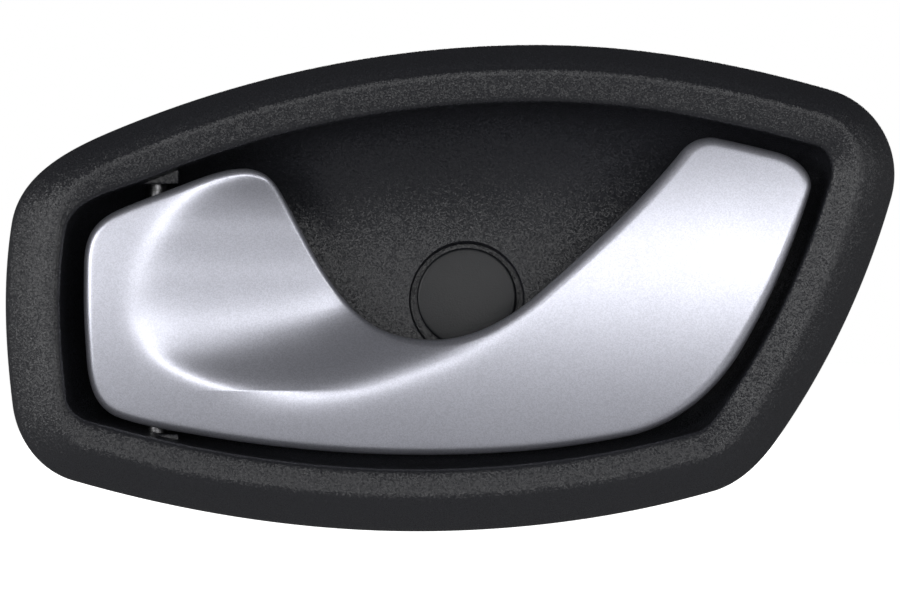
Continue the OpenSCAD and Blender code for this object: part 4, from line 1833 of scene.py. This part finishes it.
@dataclass
class ReturnSpring:
    """The coil round the hinge pin that pushes the lever home."""

    bezel: Bezel
    shape: LeverOutline
    carrier_t: float = 2.0
    nest_gap: float = 0.25
    leg_way: tuple[float, float, float] = (-0.6, -0.8, 0.0)
    leg_bend: tuple[float, float] = (3.4, 8.4)
    pin_gap: float = 0.3
    turn_gap: float = 0.25
    seat_gap: float = 0.1
    floor_gap: float = 0.3
    wire_sides: int = 14

    def path(self) -> np.ndarray:
        """Points of the wire's middle, from one leg's end to the other's.

        Returns:
            Rows of x, y, z.
        """
        hinge = self.bezel.hinge
        x, y = self.bezel.hinge_x, self.bezel.hinge_y
        r = hinge.pin_d / 2 + self.pin_gap + hinge.wire / 2
        pitch = hinge.wire + self.turn_gap
        seat = hinge.wire / 2 + self.seat_gap

        def leg_turn(height: float) -> float:
            """Turn of a leg that ends at a height off the pin's axis."""
            reach = math.hypot(r, hinge.leg)
            return math.degrees(math.asin(height / reach)) - math.degrees(math.atan2(r, hinge.leg))

        plate = float(self.shape.face_y(x - hinge.leg, hinge.coil_from))
        plate += self.shape.lever.wall + self.nest_gap + self.carrier_t
        start = 270 + leg_turn(y - plate - seat)
        floor_y = self.bezel.sizes.floor_y
        stop = 360 * hinge.turns + 90 - leg_turn(floor_y - y - seat - self.floor_gap)
        turn = np.radians(np.linspace(start, stop, 40 * hinge.turns))
        height = hinge.coil_from + pitch * (turn - turn[0]) / math.tau
        coil = np.column_stack([x + r * np.cos(turn), y + r * np.sin(turn), height])

        def ahead(a: float) -> np.ndarray:
            """Direction of the wire at a turn."""
            return np.array([-math.sin(a), math.cos(a), 0.0])

        first = coil[0] - hinge.leg * ahead(turn[0])
        last = coil[-1] + hinge.leg * ahead(turn[-1])
        return np.vstack([first, coil, last])

    def build(self, finishes: FinishSet) -> None:
        """Sweeps the wire by a geometry node tree and dresses it.

        Args:
            finishes: Every finish of the handle.
        """
        points = self.path() * MM
        mesh = bpy.data.meshes.new("return_spring_coil")
        edges = [(i, i + 1) for i in range(len(points) - 1)]
        mesh.from_pydata(points.tolist(), edges, [])
        wire = put_in_scene("return_spring_coil", mesh)
        diameter = self.bezel.hinge.wire * MM
        wire_tree().grow(wire, Wire_diameter=diameter, Sides=self.wire_sides, Finish=finishes.spring)
        face_outwards(wire.data)
        shade(wire.data, 50)
        wire.data.materials.clear()
        wire.data.materials.append(finishes.spring)
        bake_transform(wire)
        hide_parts("return_spring")
        log.info("%s bends from %s to %s", wire.name, Body.HOUSING.value, Body.LEVER.value)


@dataclass
class PackedSmallParts:
    """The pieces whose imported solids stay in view, with their finishes."""

    nodes: dict[str, bpy.types.Object]

    def build(self, finishes: FinishSet) -> None:
        """Puts each finish on its node.

        Args:
            finishes: Every finish of the handle.
        """
        chosen = {
            "hinge_pin": finishes.plated,
            "pin_clip": finishes.plated,
            "screw_sleeve": finishes.plated,
            "rest_stop": finishes.rubber,
            "open_stop": finishes.rubber,
        }
        for name, material in chosen.items():
            mesh = self.nodes[name].data
            mesh.materials.clear()
            mesh.materials.append(material)
            log.info("%s keeps its packed solid", name)


# Studio


@dataclass(frozen=True)
class SoftLamp:
    """One soft box."""

    name: str
    place: tuple[float, float, float]
    width: float
    height: float
    power: float

    def build(self, target: Vector) -> None:
        """Hangs the lamp and turns it to the target.

        Args:
            target: Place that it shines at.
        """
        data = bpy.data.lights.new(self.name, "AREA")
        data.shape = "RECTANGLE"
        data.size, data.size_y, data.energy = self.width, self.height, self.power
        lamp = put_in_scene(self.name, data)
        lamp.location = self.place
        lamp.rotation_euler = (target - Vector(self.place)).to_track_quat("-Z", "Y").to_euler()


@dataclass
class SkySketch(NodeSketch):
    """The nodes of the world."""

    def __post_init__(self) -> None:
        """Makes the world and puts it in the scene."""
        world = bpy.data.worlds.new(self.name)
        bpy.context.scene.world = world
        world.use_nodes = True
        self.tree = world.node_tree


@dataclass
class Studio:
    """Pale floor, soft light and the camera."""

    frame_width: float = 0.1695
    distance: float = 1.5
    centre: tuple[float, float] = (-0.0032, 0.0)
    floor_z: float = -0.062
    floor_rings: tuple[float, ...] = (0.4, 1.2, 6.0)
    floor_steps: int = 96
    paper_grey: float = 0.82
    paper_glow: float = 0.9
    sky_height: float = 0.85
    sky_levels: tuple[float, float] = (0.30, 0.07)
    face_y: float = -0.030
    sensor: float = 36.0
    aim: tuple[float, float, float] = (0, -0.02, 0)
    lamps: tuple[SoftLamp, ...] = (
        SoftLamp("key_lamp", (0.18, -1.85, 0.15), 1.0, 0.42, 5.6),
        SoftLamp("left_lamp", (-1.22, -1.34, 0.16), 0.8, 0.8, 11.0),
        SoftLamp("right_lamp", (1.15, -1.30, 0.22), 0.5, 0.5, 2.2),
        SoftLamp("rear_lamp", (0.45, 1.80, 0.80), 1.4, 1.0, 16.0),
    )

    def floor(self) -> None:
        """A plain round floor under the handle."""
        steps = self.floor_steps
        turn = once_round(steps)
        rings = [np.zeros((1, 3))] + [
            np.column_stack([radius * np.cos(turn), radius * np.sin(turn), np.zeros(steps)])
            for radius in self.floor_rings
        ]
        points = np.vstack(rings) + (0, 0, self.floor_z)
        faces = [(0, 1 + i, 1 + (i + 1) % steps) for i in range(steps)]
        for ring in range(len(self.floor_rings) - 1):
            first = 1 + ring * steps
            for i in range(steps):
                a, b = first + i, first + (i + 1) % steps
                faces.append((a, a + steps, b + steps, b))
        mesh = bpy.data.meshes.new("studio_floor")
        mesh.from_pydata(points.tolist(), [], faces)
        obj = put_in_scene("studio_floor", mesh)
        mesh.materials.append(self.paper())

    def paper(self) -> bpy.types.Material:
        """White paper that the camera sees as plain white.

        Returns:
            The material.
        """
        sketch = ShaderSketch("studio_paper")
        sketch.set(Roughness=0.9)
        sketch.shader.inputs["Base Color"].default_value = (*[self.paper_grey] * 3, 1)
        ray = sketch.node("ShaderNodeLightPath")
        seen = sketch.node("ShaderNodeMath", operation="MAXIMUM")
        sketch.link(ray.outputs["Is Camera Ray"], seen.inputs[0])
        sketch.link(ray.outputs["Is Transmission Ray"], seen.inputs[1])
        glow = sketch.node("ShaderNodeEmission")
        lift = sketch.node("ShaderNodeMath", operation="MULTIPLY")
        sketch.link(seen.outputs[0], lift.inputs[0])
        lift.inputs[1].default_value = self.paper_glow
        sketch.link(lift.outputs[0], glow.inputs["Strength"])
        both = sketch.node("ShaderNodeAddShader")
        sketch.link(sketch.shader.outputs["BSDF"], both.inputs[0])
        sketch.link(glow.outputs["Emission"], both.inputs[1])
        sketch.link(both.outputs[0], sketch.output.inputs["Surface"])
        return sketch.material

    def sky(self) -> None:
        """Even light from all round, weaker from above, and white to the camera."""
        sketch = SkySketch("studio_world")
        place = sketch.node("ShaderNodeTexCoord")
        parts = sketch.node("ShaderNodeSeparateXYZ")
        front = sketch.node("ShaderNodeMapRange", interpolation_type="SMOOTHSTEP")
        sketch.link(place.outputs["Generated"], parts.inputs[0])
        sketch.link(parts.outputs["Z"], front.inputs["Value"])
        ends = {"From Min": 0.0, "From Max": self.sky_height}
        ends |= {"To Min": self.sky_levels[0], "To Max": self.sky_levels[1]}
        for name, value in ends.items():
            front.inputs[name].default_value = value
        ray = sketch.node("ShaderNodeLightPath")
        level = sketch.node("ShaderNodeMath", operation="MAXIMUM")
        sketch.link(front.outputs["Result"], level.inputs[0])
        sketch.link(ray.outputs["Is Camera Ray"], level.inputs[1])
        background = sketch.tree.nodes["Background"]
        background.inputs["Color"].default_value = (1, 1, 1, 1)
        sketch.link(level.outputs[0], background.inputs["Strength"])

    def camera(self) -> None:
        """Looks straight at the bezel's front, as the photograph does."""
        data = bpy.data.cameras.new("front_camera")
        data.sensor_width = self.sensor
        data.lens = self.sensor * self.distance / self.frame_width
        data.clip_start, data.clip_end = 0.05, 20
        camera = put_in_scene("front_camera", data)
        camera.location = (self.centre[0], self.face_y - self.distance, self.centre[1])
        camera.rotation_euler = (math.radians(90), 0, 0)
        bpy.context.scene.camera = camera

    def build(self) -> None:
        """Sets up the whole studio."""
        self.floor()
        self.sky()
        self.camera()
        for lamp in self.lamps:
            lamp.build(Vector(self.aim))
        bpy.context.scene.view_settings.view_transform = "Standard"
        log.info("studio ready with %d lamps", len(self.lamps))


def main() -> None:
    """Builds every sub-assembly in order."""
    logging.basicConfig(level=logging.INFO, format="%(name)s: %(message)s")
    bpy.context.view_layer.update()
    studio = Studio()
    studio.build()
    finishes = FinishSet.build()
    sizes, lever = BezelSizes(), LeverSizes()
    shape = LeverOutline(sizes, lever)
    bezel = Bezel(sizes, HingeSizes(), ScrewSizes(), ArmSizes(), shape.line)
    bezel.build(finishes)
    PullLever(shape).build(finishes)
    LeverCarrier(shape, bezel).build(finishes)
    ScrewCap(sizes, bezel.screw).build(finishes)
    ReturnSpring(bezel, shape).build(finishes)
    PackedSmallParts(frame["nodes"]).build(finishes)


if __name__ == "__main__":
    main()
